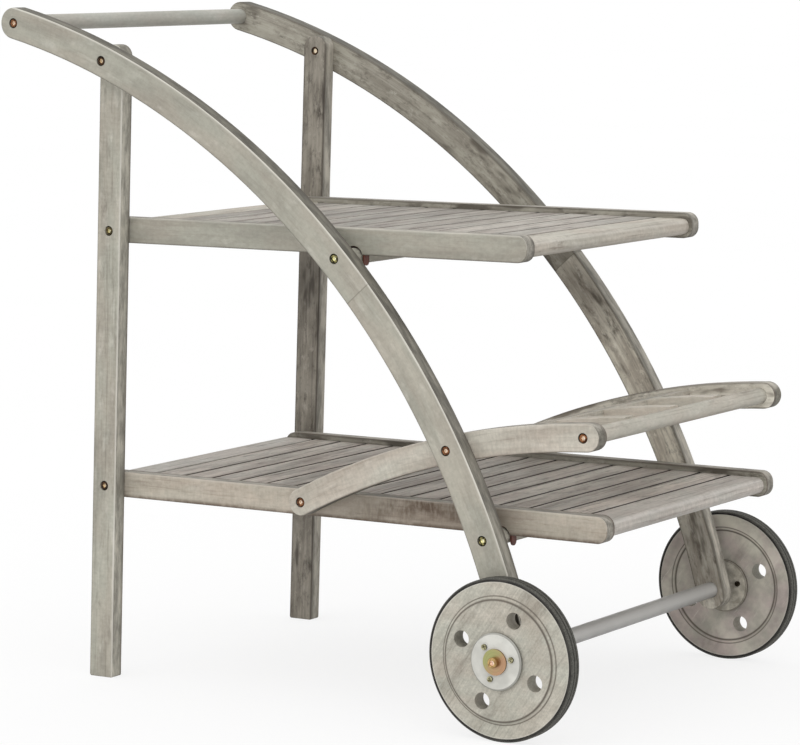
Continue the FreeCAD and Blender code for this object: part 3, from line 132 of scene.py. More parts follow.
# Layers on a thin coat: pattern, noise where the layer starts and is full, its strength, and which colour of
# the coat it shows.
Layer = namedtuple("Layer", "pattern start full strength shows")
THIN_COAT = (
    Layer(RUNS, 0.50, 0.68, 0.3, "stain"),
    Layer(RUNS, 0.47, 0.34, 0.3, "pale"),
    Layer(BLOTS, 0.50, 0.70, 0.82, "stain"),
    Layer(FINE_SCUFFS, 0.53, 0.74, 0.6, "stain"),
    Layer(RUBBED, 0.54, 0.72, 0.65, "pale"),
    Layer(KNOTS, 0.56, 0.68, 0.85, "stain"),
)


class Graph:
    """A node tree, built from short calls."""

    def __init__(self, owner):
        self.owner = owner
        owner.use_nodes = True
        self.tree = owner.node_tree
        self.tree.nodes.clear()

    def add(self, kind, **settings):
        """Add a node and set its own properties."""
        node = self.tree.nodes.new(kind)
        for key, setting in settings.items():
            setattr(node, key, setting)
        return node

    def put(self, socket, value):
        """Link a socket, or set its constant."""
        if isinstance(value, bpy.types.NodeSocket):
            self.tree.links.new(value, socket)
        else:
            socket.default_value = value

    def math(self, operation, first, second=0.0):
        """Return the result of a sum."""
        node = self.add("ShaderNodeMath", operation=operation)
        self.put(node.inputs[0], first)
        self.put(node.inputs[1], second)
        return node.outputs[0]

    def times(self, *values):
        """Return the product of several values."""
        product = values[0]
        for value in values[1:]:
            product = self.math("MULTIPLY", product, value)
        return product

    def vector(self, x, y, z):
        """Return a vector from its three parts."""
        node = self.add("ShaderNodeCombineXYZ")
        for socket, value in zip(node.inputs, (x, y, z)):
            self.put(socket, value)
        return node.outputs[0]

    def parts(self, vector):
        """Return a vector's three parts."""
        node = self.add("ShaderNodeSeparateXYZ")
        self.put(node.inputs[0], vector)
        return node.outputs

    def place(self):
        """Return the point in the trolley's frame at rest."""
        return self.add("ShaderNodeTexCoord").outputs["Object"]

    def facing(self):
        """Return the three parts of the surface's direction in the trolley's frame at rest."""
        return self.parts(self.add("ShaderNodeTexCoord").outputs["Normal"])

    def noise(self, vector, scale, detail=3.0, roughness=0.5):
        """Return a noise value about a half."""
        node = self.add("ShaderNodeTexNoise")
        self.put(node.inputs["Vector"], vector)
        self.put(node.inputs["Scale"], scale)
        self.put(node.inputs["Detail"], detail)
        self.put(node.inputs["Roughness"], roughness)
        return node.outputs["Fac"]

    def grain(self, spot, pattern):
        """Return a noise in a pattern that follows the grain."""
        scales = (pattern.along, pattern.across, pattern.across)
        scaled = [self.math("MULTIPLY", part, scale) for part, scale in zip(spot, scales)]
        return self.noise(self.vector(*scaled), 1.0, pattern.detail, pattern.roughness)

    def ease(self, value, low, high, start=0.0, stop=1.0):
        """Return a smooth step from start to stop as the value goes from low to high."""
        node = self.add("ShaderNodeMapRange", interpolation_type="SMOOTHSTEP")
        for socket, number in zip(node.inputs[:5], (value, low, high, start, stop)):
            self.put(socket, number)
        return node.outputs[0]

    def near(self, value, middle, reach):
        """Return 1 at the middle, falling to 0 at that reach from it."""
        return self.ease(self.math("ABSOLUTE", self.math("SUBTRACT", value, middle)), 0.0, reach, 1.0, 0.0)

    def mix(self, factor, first, second, blend="MIX"):
        """Return a mix of two colours."""
        node = self.add("ShaderNodeMix", data_type="RGBA", blend_type=blend)
        self.put(node.inputs[0], factor)
        self.put(node.inputs[6], first)
        self.put(node.inputs[7], second)
        return node.outputs[2]

    def shaded(self, colour, factor):
        """Return a colour made lighter or darker by a factor."""
        return self.mix(1.0, colour, self.vector(factor, factor, factor), "MULTIPLY")

    def bump(self, height, strength, distance):
        """Return a surface direction roughened by a height."""
        node = self.add("ShaderNodeBump")
        self.put(node.inputs["Strength"], strength)
        self.put(node.inputs["Distance"], distance)
        self.put(node.inputs["Height"], height)
        return node.outputs["Normal"]

    def surface(self, colour, roughness, normal=None, metallic=0.0, specular=0.3):
        """Return a shader with these looks."""
        node = self.add("ShaderNodeBsdfPrincipled")
        self.put(node.inputs["Base Color"], colour)
        self.put(node.inputs["Roughness"], roughness)
        self.put(node.inputs["Metallic"], metallic)
        self.put(node.inputs["Specular IOR Level"], specular)
        if normal is not None:
            self.put(node.inputs["Normal"], normal)
        return node.outputs[0]

    def seen_directly(self):
        """Return 1 for the rays that show the surround itself or its reflection."""
        path = self.add("ShaderNodeLightPath")
        mirrored = self.math("MAXIMUM", path.outputs["Is Glossy Ray"], path.outputs["Is Transmission Ray"])
        return self.math("MAXIMUM", path.outputs["Is Camera Ray"], mirrored)

    def close(self, shader, output="ShaderNodeOutputMaterial"):
        """End the tree with a shader and return its owner."""
        node = self.add(output)
        self.put(node.inputs["Surface"], shader)
        return self.owner


def material(name):
    """Return the tree of a new material."""
    return Graph(bpy.data.materials.new(name))


def linear(screen):
    """Return the light of a screen value of 0 to 1."""
    if screen > 0.04045:
        return ((screen + 0.055) / 1.055) ** 2.4
    return screen / 12.92


def rgb(red, green, blue):
    """Return a colour from screen values of 0 to 255."""
    return linear(red / 255), linear(green / 255), linear(blue / 255), 1.0


def polar(graph, x, z, centre):
    """Return the distance and direction of a point from a centre seen from the side."""
    dx = graph.math("SUBTRACT", x, centre.x)
    dz = graph.math("SUBTRACT", z, centre.z)
    square = graph.math("ADD", graph.times(dx, dx), graph.times(dz, dz))
    return graph.math("SQRT", square), graph.math("ARCTAN2", dz, dx)


def straight(axis):
    """Return how to find grain points in a straight piece: along, across and through."""
    order = {"x": (0, 2, 1), "y": (1, 0, 2)}[axis]

    def points(graph):
        parts = graph.parts(graph.place())
        return [parts[index] for index in order]

    return points


def level(rail):
    """Return how to find grain points in a shelf's side rail, across from its middle."""
    low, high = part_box(rail)

    def points(graph):
        x, y, z = graph.parts(graph.place())
        return [x, graph.math("SUBTRACT", z, (low.z + high.z) / 2), y]

    return points


def leaning(graph):
    """Return grain points in a leg, across from its middle."""
    x, y, z = graph.parts(graph.place())
    middle = graph.math("ADD", graph.times(z, LEG_LEAN), LEG_FOOT)
    return [z, graph.math("SUBTRACT", x, middle), y]


def bent(bend):
    """Return how to find grain points in a bent piece, across from its middle."""

    def points(graph):
        x, y, z = graph.parts(graph.place())
        reach, turn = polar(graph, x, z, bend)
        return [graph.times(turn, bend.radius), graph.math("SUBTRACT", reach, bend.radius), y]

    return points


# A coat of grey wash on wood: its usual colour, its darker patches, the stain that shows through it, also
# used for painted shade, and its pale colour where it is rubbed, also used for painted highlights.
Coat = namedtuple("Coat", "wash shade stain pale")
GREY = Coat(rgb(173, 170, 158), rgb(156, 152, 141), rgb(92, 87, 78), rgb(216, 213, 203))
WARM = Coat(rgb(185, 180, 169), rgb(168, 161, 150), rgb(104, 94, 84), rgb(208, 203, 194))
BROWN = Coat(rgb(180, 172, 159), rgb(162, 153, 140), rgb(84, 68, 54), rgb(198, 191, 180))
LILAC = Coat(rgb(186, 181, 174), rgb(168, 162, 155), rgb(100, 92, 86), rgb(210, 206, 200))
UPPER_DECK = Coat(rgb(172, 167, 159), rgb(152, 146, 139), rgb(88, 82, 76), rgb(196, 192, 185))
LOWER_DECK = Coat(rgb(166, 160, 152), rgb(142, 135, 128), rgb(80, 73, 68), rgb(190, 185, 178))
PALE = Coat(rgb(184, 183, 175), rgb(170, 169, 161), rgb(122, 119, 110), rgb(204, 203, 197))
TURNED = Coat(rgb(180, 177, 166), rgb(166, 162, 151), rgb(92, 85, 76), rgb(206, 203, 193))
BARE = Coat(rgb(158, 154, 142), rgb(138, 133, 122), rgb(84, 78, 69), rgb(178, 174, 163))
# BARE_FRONT and BARE_ARM are lighter bare coats for the far front rail and the far lower arm, partly painted
# light against the shade they get.
BARE_FRONT = Coat(rgb(190, 186, 175), rgb(172, 167, 156), rgb(110, 103, 93), rgb(208, 204, 194))
BARE_ARM = Coat(rgb(192, 187, 174), rgb(162, 155, 143), rgb(74, 67, 58), rgb(210, 206, 195))
BARE_LEG = Coat(rgb(142, 136, 125), rgb(118, 112, 102), rgb(66, 60, 53), rgb(166, 160, 149))
# A near-black brown for painted shade in gaps: between slats, and between a wheel and its arm.
GAP_SHADE = rgb(58, 52, 47)
DISC_BROWN = rgb(172, 161, 155)
DISC_GREY = rgb(180, 176, 164)
RUBBER_BLACK = rgb(34, 33, 31)
RUBBER_GREY = rgb(60, 58, 54)
TYRE_DUST = rgb(112, 111, 104)
WASHER_PINK = rgb(186, 148, 116)
WASHER_GREEN = rgb(166, 166, 112)
WASHER_WALL_SHADE = rgb(140, 108, 70)
WARM_TINT = (1.03, 1.0, 0.985, 1.0)
COOL_TINT = (0.985, 1.0, 0.99, 1.0)

# Narrow faces of the boards: those that look level, and those that look up. The two colours are partly the
# boards' own darker edges and partly painted light and shade, such as the shaded tops of the legs and the
# dark front ends of the rails.
Edge = namedtuple("Edge", "level up")
ARM_EDGE = Edge(rgb(142, 138, 128), rgb(107, 104, 95))
UPPER_ARM_EDGE = Edge(rgb(119, 115, 106), rgb(105, 102, 92))
PALE_ARM_EDGE = Edge(rgb(175, 170, 159), rgb(107, 104, 95))
LEG_EDGE = Edge(rgb(176, 172, 160), rgb(142, 138, 127))
FAR_LEG_EDGE = Edge(rgb(160, 155, 144), rgb(142, 138, 127))
RAIL_EDGE = Edge(rgb(136, 132, 123), rgb(162, 157, 147))
FRONT_EDGE = Edge(rgb(117, 113, 103), rgb(162, 157, 147))

# How far along the grain each piece and each slat starts from the last, how far slats differ in tone, how
# dark the painted shade on undersides is, and how rough plated metal is.
SEED_STEP = 3.7
SLAT_STEP = 5.3
SLAT_SPREAD = 0.18
UNDERSIDE_SHADE = 0.72
METAL_ROUGH = 0.3


def washed(graph, spot, coat, blotch, streak, hatch):
    """Return a coat's colour over the grain, with its streaks for the bump."""
    broad = graph.grain(spot, BROAD)
    colour = graph.mix(graph.ease(broad, 0.36, 0.62, blotch, 0.0), coat.wash, coat.shade)
    patches = graph.grain(spot, PATCHES)
    colour = graph.mix(graph.ease(patches, 0.54, 0.74, 0.0, 0.35), colour, coat.pale)
    scuffs = graph.grain(spot, SCUFFS)
    colour = graph.mix(graph.ease(scuffs, 0.52, 0.80, 0.0, 1.5 * streak), colour, coat.stain)
    streaks = graph.grain(spot, STREAKS)
    colour = graph.mix(graph.ease(streaks, 0.52, 0.72, 0.0, streak), colour, coat.stain)
    mottle = graph.grain(spot, MOTTLE)
    colour = graph.shaded(colour, graph.ease(mottle, 0.3, 0.7, 1.07, 0.93))
    chatter = graph.grain(spot, CHATTER)
    colour = graph.shaded(colour, graph.ease(chatter, 0.3, 0.7, 1.0 - hatch, 1.0 + hatch))
    hue = graph.grain(spot, HUE)
    tint = graph.mix(graph.ease(hue, 0.35, 0.65), WARM_TINT, COOL_TINT)
    return graph.mix(1.0, colour, tint, "MULTIPLY"), streaks


def weathered(graph, spot, coat):
    """Return the colour of an inner face, where the coat is thin and the wood is streaked and mottled."""
    mottle = graph.grain(spot, THIN_PATCHES)
    colour = graph.mix(graph.ease(mottle, 0.38, 0.60), coat.shade, coat.wash)
    for layer in THIN_COAT:
        noise = graph.grain(spot, layer.pattern)
        share = graph.ease(noise, layer.start, layer.full, 0.0, layer.strength)
        colour = graph.mix(share, colour, getattr(coat, layer.shows))
    return colour


def sawn(graph, colour, spot, streaks):
    """End a wood's tree with this colour, with painted shade where it looks down, rough and dented along its
    streaks.
    """
    # Painted shade: wood that looks down is darkened.
    colour = graph.shaded(colour, graph.ease(graph.facing()[2], -0.9, 0.1, UNDERSIDE_SHADE, 1.0))
    fibre = graph.grain(spot, FIBRE)
    height = graph.math("SUBTRACT", graph.times(fibre, 0.4), graph.times(streaks, 0.6))
    roughness = graph.ease(streaks, 0.3, 0.7, 0.55, 0.75)
    return graph.close(graph.surface(colour, roughness, graph.bump(height, 0.25, SAWN_DENT)))


def soiled(graph, colour, spot, along, coat, width, middle, reach):
    """Return an outer face's colour with dirt about a place along it and on its ragged bottom edge."""
    soil = graph.grain(spot, SOIL)
    chatter = graph.grain(spot, CHATTER)
    patches = graph.ease(soil, 0.32, 0.58, 0.35, 0.95)
    broken = graph.ease(chatter, 0.36, 0.64, 0.7, 1.0)
    dirt = graph.times(patches, broken, graph.near(along, middle, reach))
    colour = graph.mix(dirt, colour, coat.stain)
    torn = graph.grain(spot, TORN)
    bottom = graph.ease(spot[1], BOTTOM_FULL - width / 2, BOTTOM_END - width / 2, 1.0, 0.0)
    return graph.mix(graph.times(bottom, graph.ease(torn, 0.35, 0.65, 0.3, 0.75)), colour, coat.stain)


def narrow_faces(graph, name, spot, streaks, coat, edge):
    """Return the colour of a board's narrow faces, rubbed in patches and dark towards its inner face."""
    low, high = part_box(name)
    thickness = high.y - low.y
    y = graph.parts(graph.place())[1]
    depth = graph.math("SUBTRACT", graph.math("ABSOLUTE", y), min(abs(low.y), abs(high.y)))
    # The colour by which way a narrow face looks is partly painted light and shade.
    colour = graph.mix(graph.ease(graph.facing()[2], 0.3, 0.9), edge.level, edge.up)
    colour = graph.mix(graph.ease(streaks, 0.5, 0.7, 0.0, 0.3), colour, coat.stain)
    rubbing = graph.grain(spot, RUBBED_EDGE)
    colour = graph.shaded(colour, graph.ease(rubbing, 0.32, 0.68, 0.6, 1.42))
    return graph.mix(graph.ease(depth, 0.0, 0.4 * thickness, 0.7, 0.0), colour, coat.stain)


def board(name, coat, bare, edge, flow, width, seed, tone=1.0, bare_tone=1.0, blotch=0.8, streak=0.12,
          hatch=0.03, wear_and_highlight=0.9, shade_heights=(), dirt=None, wheel_shadow_middle=None, jointed=False):
    """Make a side board's wood.

    Its outer face has the coat, pale along its upper or front arris and rim and dark along the other, partly
    wear and stain and partly painted highlight and shade; the face that looks inwards has the bare coat,
    with painted shade at the heights given for it; the edge colours the narrow faces. Dirt is a place along
    the board and a reach; the wheel's middle, when given, is where the wheel's shadow is painted on the
    outer face.
    """
    graph = material(name)
    spot = flow(graph)
    along = spot[0]
    spot[0] = graph.math("ADD", along, SEED_STEP * seed)
    x, y, z = graph.parts(graph.place())
    outer, streaks = washed(graph, spot, coat, blotch, streak, hatch)
    outer = graph.shaded(outer, tone)
    if dirt:
        outer = soiled(graph, outer, spot, along, coat, width, *dirt)
    # Painted shadow of the wheel on the outer face about the axle, in the gap shade colour.
    if wheel_shadow_middle:
        reach = polar(graph, x, z, wheel_shadow_middle)[0]
        outer = graph.mix(graph.ease(reach, WHEEL_SHADOW_FULL, WHEEL_SHADOW_END, 0.95, 0.0), outer, GAP_SHADE)
    inner = graph.shaded(weathered(graph, spot, bare), bare_tone)
    # Painted shade on the inner face below the shelves.
    for height in shade_heights:
        inner = graph.mix(graph.times(graph.near(z, height, SHADE_REACH), 0.45), inner, bare.stain)
    # Pale and dark rims: partly wear and stain, partly painted highlight on the upper or front side and
    # painted shade on the other side and on the inner face.
    margin = graph.math("SUBTRACT", width / 2, graph.math("ABSOLUTE", spot[1]))
    rim = graph.ease(margin, RIM_FULL, RIM_END, 1.0, 0.0)
    front = graph.ease(spot[1], -TURN_REACH, TURN_REACH)
    back = graph.math("SUBTRACT", 1.0, front)
    worn_and_lit = graph.ease(streaks, 0.35, 0.6, wear_and_highlight, 0.5 * wear_and_highlight)
    outer = graph.mix(graph.times(rim, front, worn_and_lit), outer, coat.pale)
    outer = graph.mix(graph.times(rim, back, 0.35), outer, coat.stain)
    inner = graph.mix(graph.times(rim, 0.6), inner, bare.stain)
    narrow = narrow_faces(graph, name, spot, streaks, coat, edge)
    outward = graph.times(graph.math("SIGN", y), graph.facing()[1])
    colour = graph.mix(graph.ease(outward, 0.2, 0.5), narrow, outer)
    colour = graph.mix(graph.ease(outward, -0.5, -0.2, 1.0, 0.0), colour, inner)
    # Arrises: partly wear and stain, partly painted highlight and shade.
    arris = graph.near(outward, *OUTER_ARRIS)
    colour = graph.mix(graph.times(arris, front, wear_and_highlight), colour, coat.pale)
    colour = graph.mix(graph.times(arris, back, 0.6), colour, coat.stain)
    colour = graph.mix(graph.times(graph.near(outward, *INNER_ARRIS), 0.9), colour, coat.stain)
    if jointed:
        line = graph.near(along, ARM_JOINT_ALONG, JOINT_LINE)
        line = graph.times(line, graph.ease(graph.math("ABSOLUTE", outward), 0.5, 0.9, 0.0, 0.5))
        colour = graph.mix(line, colour, coat.stain)
    return sawn(graph, colour, spot, streaks)


def stick(name, coat, flow, seed, tone=1.0, blotch=0.7, streak=0.25, hatch=0.02, face="y", wear_and_highlight=0.0):
    """Make the wood of a cross rail, a rib or a bar, with pale and dark arrises on its broad faces, partly
    wear and partly painted highlight and shade.
    """
    graph = material(name)
    spot = flow(graph)
    spot[0] = graph.math("ADD", spot[0], SEED_STEP * seed)
    colour, streaks = washed(graph, spot, coat, blotch, streak, hatch)
    colour = graph.shaded(colour, tone)
    flat = graph.math("ABSOLUTE", graph.facing()["xyz".index(face)])
    # Pale and dark arrises: partly wear, partly painted highlight and shade.
    colour = graph.mix(graph.times(graph.near(flat, *PALE_ARRIS), wear_and_highlight), colour, coat.pale)
    colour = graph.mix(graph.times(graph.near(flat, *DARK_ARRIS), 0.4 * wear_and_highlight), colour, coat.stain)
    return sawn(graph, colour, spot, streaks)


def deck(name, coat, pitch, seed, tone):
    """Make the wood of a shelf's slats, each a little different, with painted shade on their sides in the
    gaps between them.
    """
    graph = material(name)
    spot = straight("y")(graph)
    number = graph.math("FLOOR", graph.math("DIVIDE", spot[1], pitch))
    shift = graph.math("ADD", graph.times(number, SLAT_STEP), SEED_STEP * seed)
    spot[0] = graph.math("ADD", spot[0], shift)
    colour, streaks = washed(graph, spot, coat, blotch=1.0, streak=0.68, hatch=0.06)
    chance = graph.noise(graph.vector(shift, 0.4, 0.7), scale=1.3, detail=0.0)
    colour = graph.shaded(colour, graph.ease(chance, 0.3, 0.7, tone - SLAT_SPREAD, tone + SLAT_SPREAD))
    flat = graph.math("ABSOLUTE", graph.facing()[2])
    # A pale arris, partly wear and partly painted highlight.
    colour = graph.mix(graph.times(graph.near(flat, *PALE_ARRIS), 0.3), colour, coat.pale)
    # Painted shade on the slats' sides in the gaps.
    colour = graph.mix(graph.ease(flat, 0.2, 0.6, 1.0, 0.0), colour, GAP_SHADE)
    return sawn(graph, colour, spot, streaks)


def disc_outside(graph, scratches, smears, haze):
    """Return the colour of a disc's outer face and its streaks: scratched, smeared, hazy and specked."""
    spot = straight("x")(graph)
    colour, streaks = washed(graph, spot, TURNED, blotch=0.6, streak=0.05, hatch=0.02)
    colour = graph.shaded(colour, graph.ease(scratches, 0.3, 0.7, 1.11, 0.91))
    colour = graph.mix(graph.ease(smears, 0.47, 0.68, 0.0, 0.5), colour, TURNED.stain)
    gouges = graph.times(graph.ease(scratches, 0.60, 0.72), graph.ease(smears, 0.45, 0.6, 0.12, 0.6))
    colour = graph.mix(gouges, colour, TURNED.stain)
    colour = graph.mix(graph.ease(haze, 0.48, 0.72, 0.0, 0.5), colour, BROWN.shade)
    specks = graph.noise(graph.place(), *DISC_SPECKS)
    return graph.shaded(colour, graph.ease(specks, 0.3, 0.7, 1.1, 0.9)), streaks


def disc_inside(graph, scratches, smears, haze):
    """Return the colour of a disc's inner face: mottled brown and grey, with smears and pale scratches."""
    colour = graph.mix(graph.ease(haze, 0.35, 0.65), DISC_BROWN, DISC_GREY)
    mottle = graph.noise(graph.place(), *DISC_MOTTLE)
    colour = graph.shaded(colour, graph.ease(mottle, 0.3, 0.7, 1.26, 0.74))
    colour = graph.mix(graph.ease(smears, 0.54, 0.74, 0.0, 0.35), colour, TURNED.stain)
    return graph.mix(graph.ease(scratches, 0.62, 0.72, 0.0, 0.6), colour, TURNED.pale)


def wheel_wood(name, side, tone, inner_tone):
    """Make a turned disc's wood, scratched and smeared on a slant, with dark lines at its turned rings,
    painted shade on its walls and a painted highlight on its rim.
    """
    graph = material(name)
    low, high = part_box(side + "_wheel_disc")
    x, y, z = graph.parts(graph.place())
    slant = [graph.math("ADD", graph.times(x, SLANT_X), graph.times(z, SLANT_Z)),
             graph.math("SUBTRACT", graph.times(z, SLANT_X), graph.times(x, SLANT_Z)), y]
    scratches = graph.grain(slant, SCRATCHES)
    smears = graph.grain(slant, SMEARS)
    haze = graph.noise(graph.place(), *HAZE)
    outer, streaks = disc_outside(graph, scratches, smears, haze)
    inner = disc_inside(graph, scratches, smears, haze)
    outward = graph.times(graph.math("SIGN", y), graph.facing()[1])
    inside = graph.ease(outward, -0.6, 0.0, 1.0, 0.0)
    colour = graph.mix(inside, graph.shaded(outer, tone), graph.shaded(inner, inner_tone))
    reach = polar(graph, x, z, (low + high) / 2)[0]
    # Dark lines at the turned rings: partly dirt in the crevices, partly painted shade.
    for ring, width, strength in WHEEL_RINGS:
        line = graph.times(graph.near(reach, ring, width), strength)
        colour = graph.mix(line, colour, TURNED.stain)
    # Painted shade on the disc's walls, such as in its holes and bore.
    walls = graph.ease(graph.math("ABSOLUTE", outward), 0.15, 0.5, 0.25, 0.0)
    colour = graph.mix(walls, colour, TURNED.stain)
    # Painted highlight on the disc's rim.
    rim = (high.x - low.x) / 2
    pale = graph.ease(reach, rim - DISC_HIGHLIGHT_START, rim - DISC_HIGHLIGHT_FULL, 0.0, 0.55)
    colour = graph.mix(pale, colour, TURNED.pale)
    height = graph.math("ADD", graph.times(scratches, -0.5), graph.times(streaks, -0.3))
    return graph.close(graph.surface(colour, 0.62, graph.bump(height, 0.2, TURNED_DENT)))


def rubber(name, side):
    """Make a tyre's rubber, dusty on its crests."""
    graph = material(name)
    low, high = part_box(side + "_tyre")
    x, y, z = graph.parts(graph.place())
    reach, turn = polar(graph, x, z, (low + high) / 2)
    spot = [turn, reach, y]
    bands = graph.grain(spot, TYRE_BANDS)
    specks = graph.noise(graph.place(), *TYRE_SPECKS)
    colour = graph.mix(graph.ease(bands, 0.4, 0.65), RUBBER_BLACK, RUBBER_GREY)
    tread = (high.x - low.x) / 2
    crest = graph.ease(reach, tread - CREST_START, tread - CREST_FULL)
    dust = graph.times(crest, graph.ease(specks, 0.4, 0.65, 0.25, 0.75))
    colour = graph.mix(dust, colour, TYRE_DUST)
    roughness = graph.ease(specks, 0.3, 0.7, 0.6, 0.8)
    return graph.close(graph.surface(colour, roughness, graph.bump(specks, 0.2, RUBBER_DENT)))


def smooth(name, light, dark, rim, scale, wall_shade_share=0.0, rough=0.45, grime=0.3, specular=0.3, dents=0.1,
           downward_shade=1.0):
    """Make a painted or moulded surface, cloudy and specked.

    Its side walls get painted shade in the rim colour, as far as the share given, and what looks down gets
    painted shade by the factor given.
    """
    graph = material(name)
    place = graph.place()
    clouds = graph.noise(place, scale)
    specks = graph.noise(place, 6.0 * scale, roughness=0.6)
    colour = graph.mix(graph.ease(clouds, 0.3, 0.7), dark, light)
    colour = graph.mix(graph.ease(specks, 0.60, 0.78, 0.0, grime), colour, rim)
    flat = graph.math("ABSOLUTE", graph.facing()[1])
    # Painted shade: side walls take the rim colour.
    colour = graph.mix(graph.ease(flat, 0.5, 0.97, wall_shade_share, 0.0), colour, rim)
    roughness = graph.ease(specks, 0.3, 0.7, rough - 0.08, rough + 0.1)
    # Painted shade: what looks down is darkened.
    colour = graph.shaded(colour, graph.ease(graph.facing()[2], -0.9, 0.3, downward_shade, 1.0))
    dented = graph.bump(specks, dents, FINE_DENT)
    return graph.close(graph.surface(colour, roughness, dented, specular=specular))


def washer_zinc(name):
    """Make yellow-passivated zinc on a washer, with turned rings and a drift from green to pink."""
    graph = material(name)
    low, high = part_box("right_tyre")
    x, y, z = graph.parts(graph.place())
    reach, turn = polar(graph, x, z, (low + high) / 2)
    clouds = graph.noise(graph.place(), *WASHER_CLOUDS)
    swing = graph.math("SINE", graph.math("SUBTRACT", turn, DRIFT_TURN))
    drift = graph.math("ADD", graph.times(swing, 0.3), clouds)
    colour = graph.mix(graph.ease(drift, 0.2, 0.8), WASHER_PINK, WASHER_GREEN)
    rings = graph.noise(graph.vector(reach, 0.0, 0.0), scale=WASHER_RINGS, detail=2.0)
    colour = graph.shaded(colour, graph.ease(rings, 0.3, 0.7, 0.9, 1.08))
    # Painted shade on the washer's side walls.
    flat = graph.math("ABSOLUTE", graph.facing()[1])
    colour = graph.mix(graph.ease(flat, 0.3, 0.95, 1.0, 0.0), colour, WASHER_WALL_SHADE)
    turned = graph.bump(rings, 0.1, FINE_DENT)
    return graph.close(graph.surface(colour, 0.34, turned, metallic=0.8, specular=0.5))


def plated(graph, colour, clouds):
    """End a plated metal's tree with this colour, rougher where it is cloudy."""
    roughness = graph.ease(clouds, 0.3, 0.7, METAL_ROUGH - 0.06, METAL_ROUGH + 0.16)
    specks = graph.noise(graph.place(), *METAL_SPECKS)
    dented = graph.bump(specks, 0.12, FINE_DENT)
    return graph.close(graph.surface(colour, roughness, dented, metallic=0.85, specular=0.5))


def metal(name, bright, dull, deep):
    """Make a plated metal, cloudy on its flat ends, with painted shade on its side walls."""
    graph = material(name)
    clouds = graph.noise(graph.place(), *METAL_CLOUDS)
    colour = graph.mix(graph.ease(clouds, 0.38, 0.62), bright, dull)
    # Painted shade: side walls take the deep colour.
    flat = graph.math("ABSOLUTE", graph.facing()[1])
    colour = graph.mix(graph.ease(flat, 0.3, 0.95, 1.0, 0.0), colour, deep)
    return plated(graph, colour, clouds)


def socket_metal(name, bright, dull, deep, inwards=False, axis=None):
    """Make a bolt's or nut's metal: a dull head with painted shade on its rim and a socket with a painted
    glint.

    With an axis, only the socket about it catches the light, as in a head that stands proud.
    """
    graph = material(name)
    clouds = graph.noise(graph.place(), *METAL_CLOUDS)
    x, y, z = graph.parts(graph.place())
    from_middle = graph.math("ABSOLUTE", y)
    if inwards:
        inner_face = min(abs(vertex.co.y) for vertex in nodes[name].data.vertices)
        sunk = graph.math("SUBTRACT", from_middle, inner_face)
    else:
        sunk = graph.math("SUBTRACT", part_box(name)[1].y, from_middle)
    head = graph.mix(graph.ease(clouds, 0.38, 0.62), dull, deep)
    # Painted shade on the head's side walls; the socket gets the painted glint below.
    flat = graph.math("ABSOLUTE", graph.facing()[1])
    head = graph.mix(graph.ease(flat, 0.6, 0.95, 1.0, 0.0), head, deep)
    lit = graph.ease(sunk, SHINE_START, SHINE_FULL)
    if axis:
        reach = polar(graph, x, z, axis)[0]
        lit = graph.times(lit, graph.ease(reach, 0.9 * SOCKET_REACH, SOCKET_REACH, 1.0, 0.0))
    colour = graph.mix(lit, head, bright)
    return plated(graph, colour, clouds)


def below(node, drop):
    """Return a height a little below a node."""
    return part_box(node)[0].z - drop


# Heights where painted shade darkens the inner faces, in metres: below the shelves, and by the axle.
SHADE_BELOW_UPPER = below("upper_shelf_left_rail", 0.07)
SHADE_BELOW_LOWER = below("lower_shelf_left_rail", 0.05)
SHADE_BY_AXLE = 0.11
wheel_low, wheel_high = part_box("right_wheel_disc")
wheel_middle = (wheel_low + wheel_high) / 2

# Wood of each board and stick: what its kind shares, then its own. The tones are partly each piece's own
# shade
# of wash and partly painted light: the far lower arm and the far front rail are made lighter against the
# shade they get.
arms = dict(coat=GREY, bare=BARE, edge=ARM_EDGE, flow=bent(ARM_BEND), width=ARM_BEND.width,
            shade_heights=(SHADE_BELOW_LOWER,), wheel_shadow_middle=wheel_middle, jointed=True)
legs = dict(coat=GREY, bare=BARE_LEG, edge=LEG_EDGE, flow=leaning, width=LEG_WIDTH, blotch=1.0, streak=0.38,
            hatch=0.05, shade_heights=(SHADE_BELOW_UPPER, SHADE_BELOW_LOWER))
upper_rails = dict(coat=GREY, bare=BARE, edge=RAIL_EDGE, flow=level("upper_shelf_right_rail"),
                   width=RAIL_WIDTH, wear_and_highlight=0.4)
lower_rails = dict(coat=BROWN, bare=BARE, edge=RAIL_EDGE, flow=level("lower_shelf_right_rail"),
                   width=RAIL_WIDTH, wear_and_highlight=0.5, streak=0.25, hatch=0.06, dirt=RAIL_DIRT)
front_rails = dict(coat=WARM, bare=BARE_FRONT, edge=FRONT_EDGE, flow=bent(FRONT_BEND),
                   width=FRONT_BEND.width, wear_and_highlight=0.2, blotch=1.0, streak=0.2, hatch=0.07)
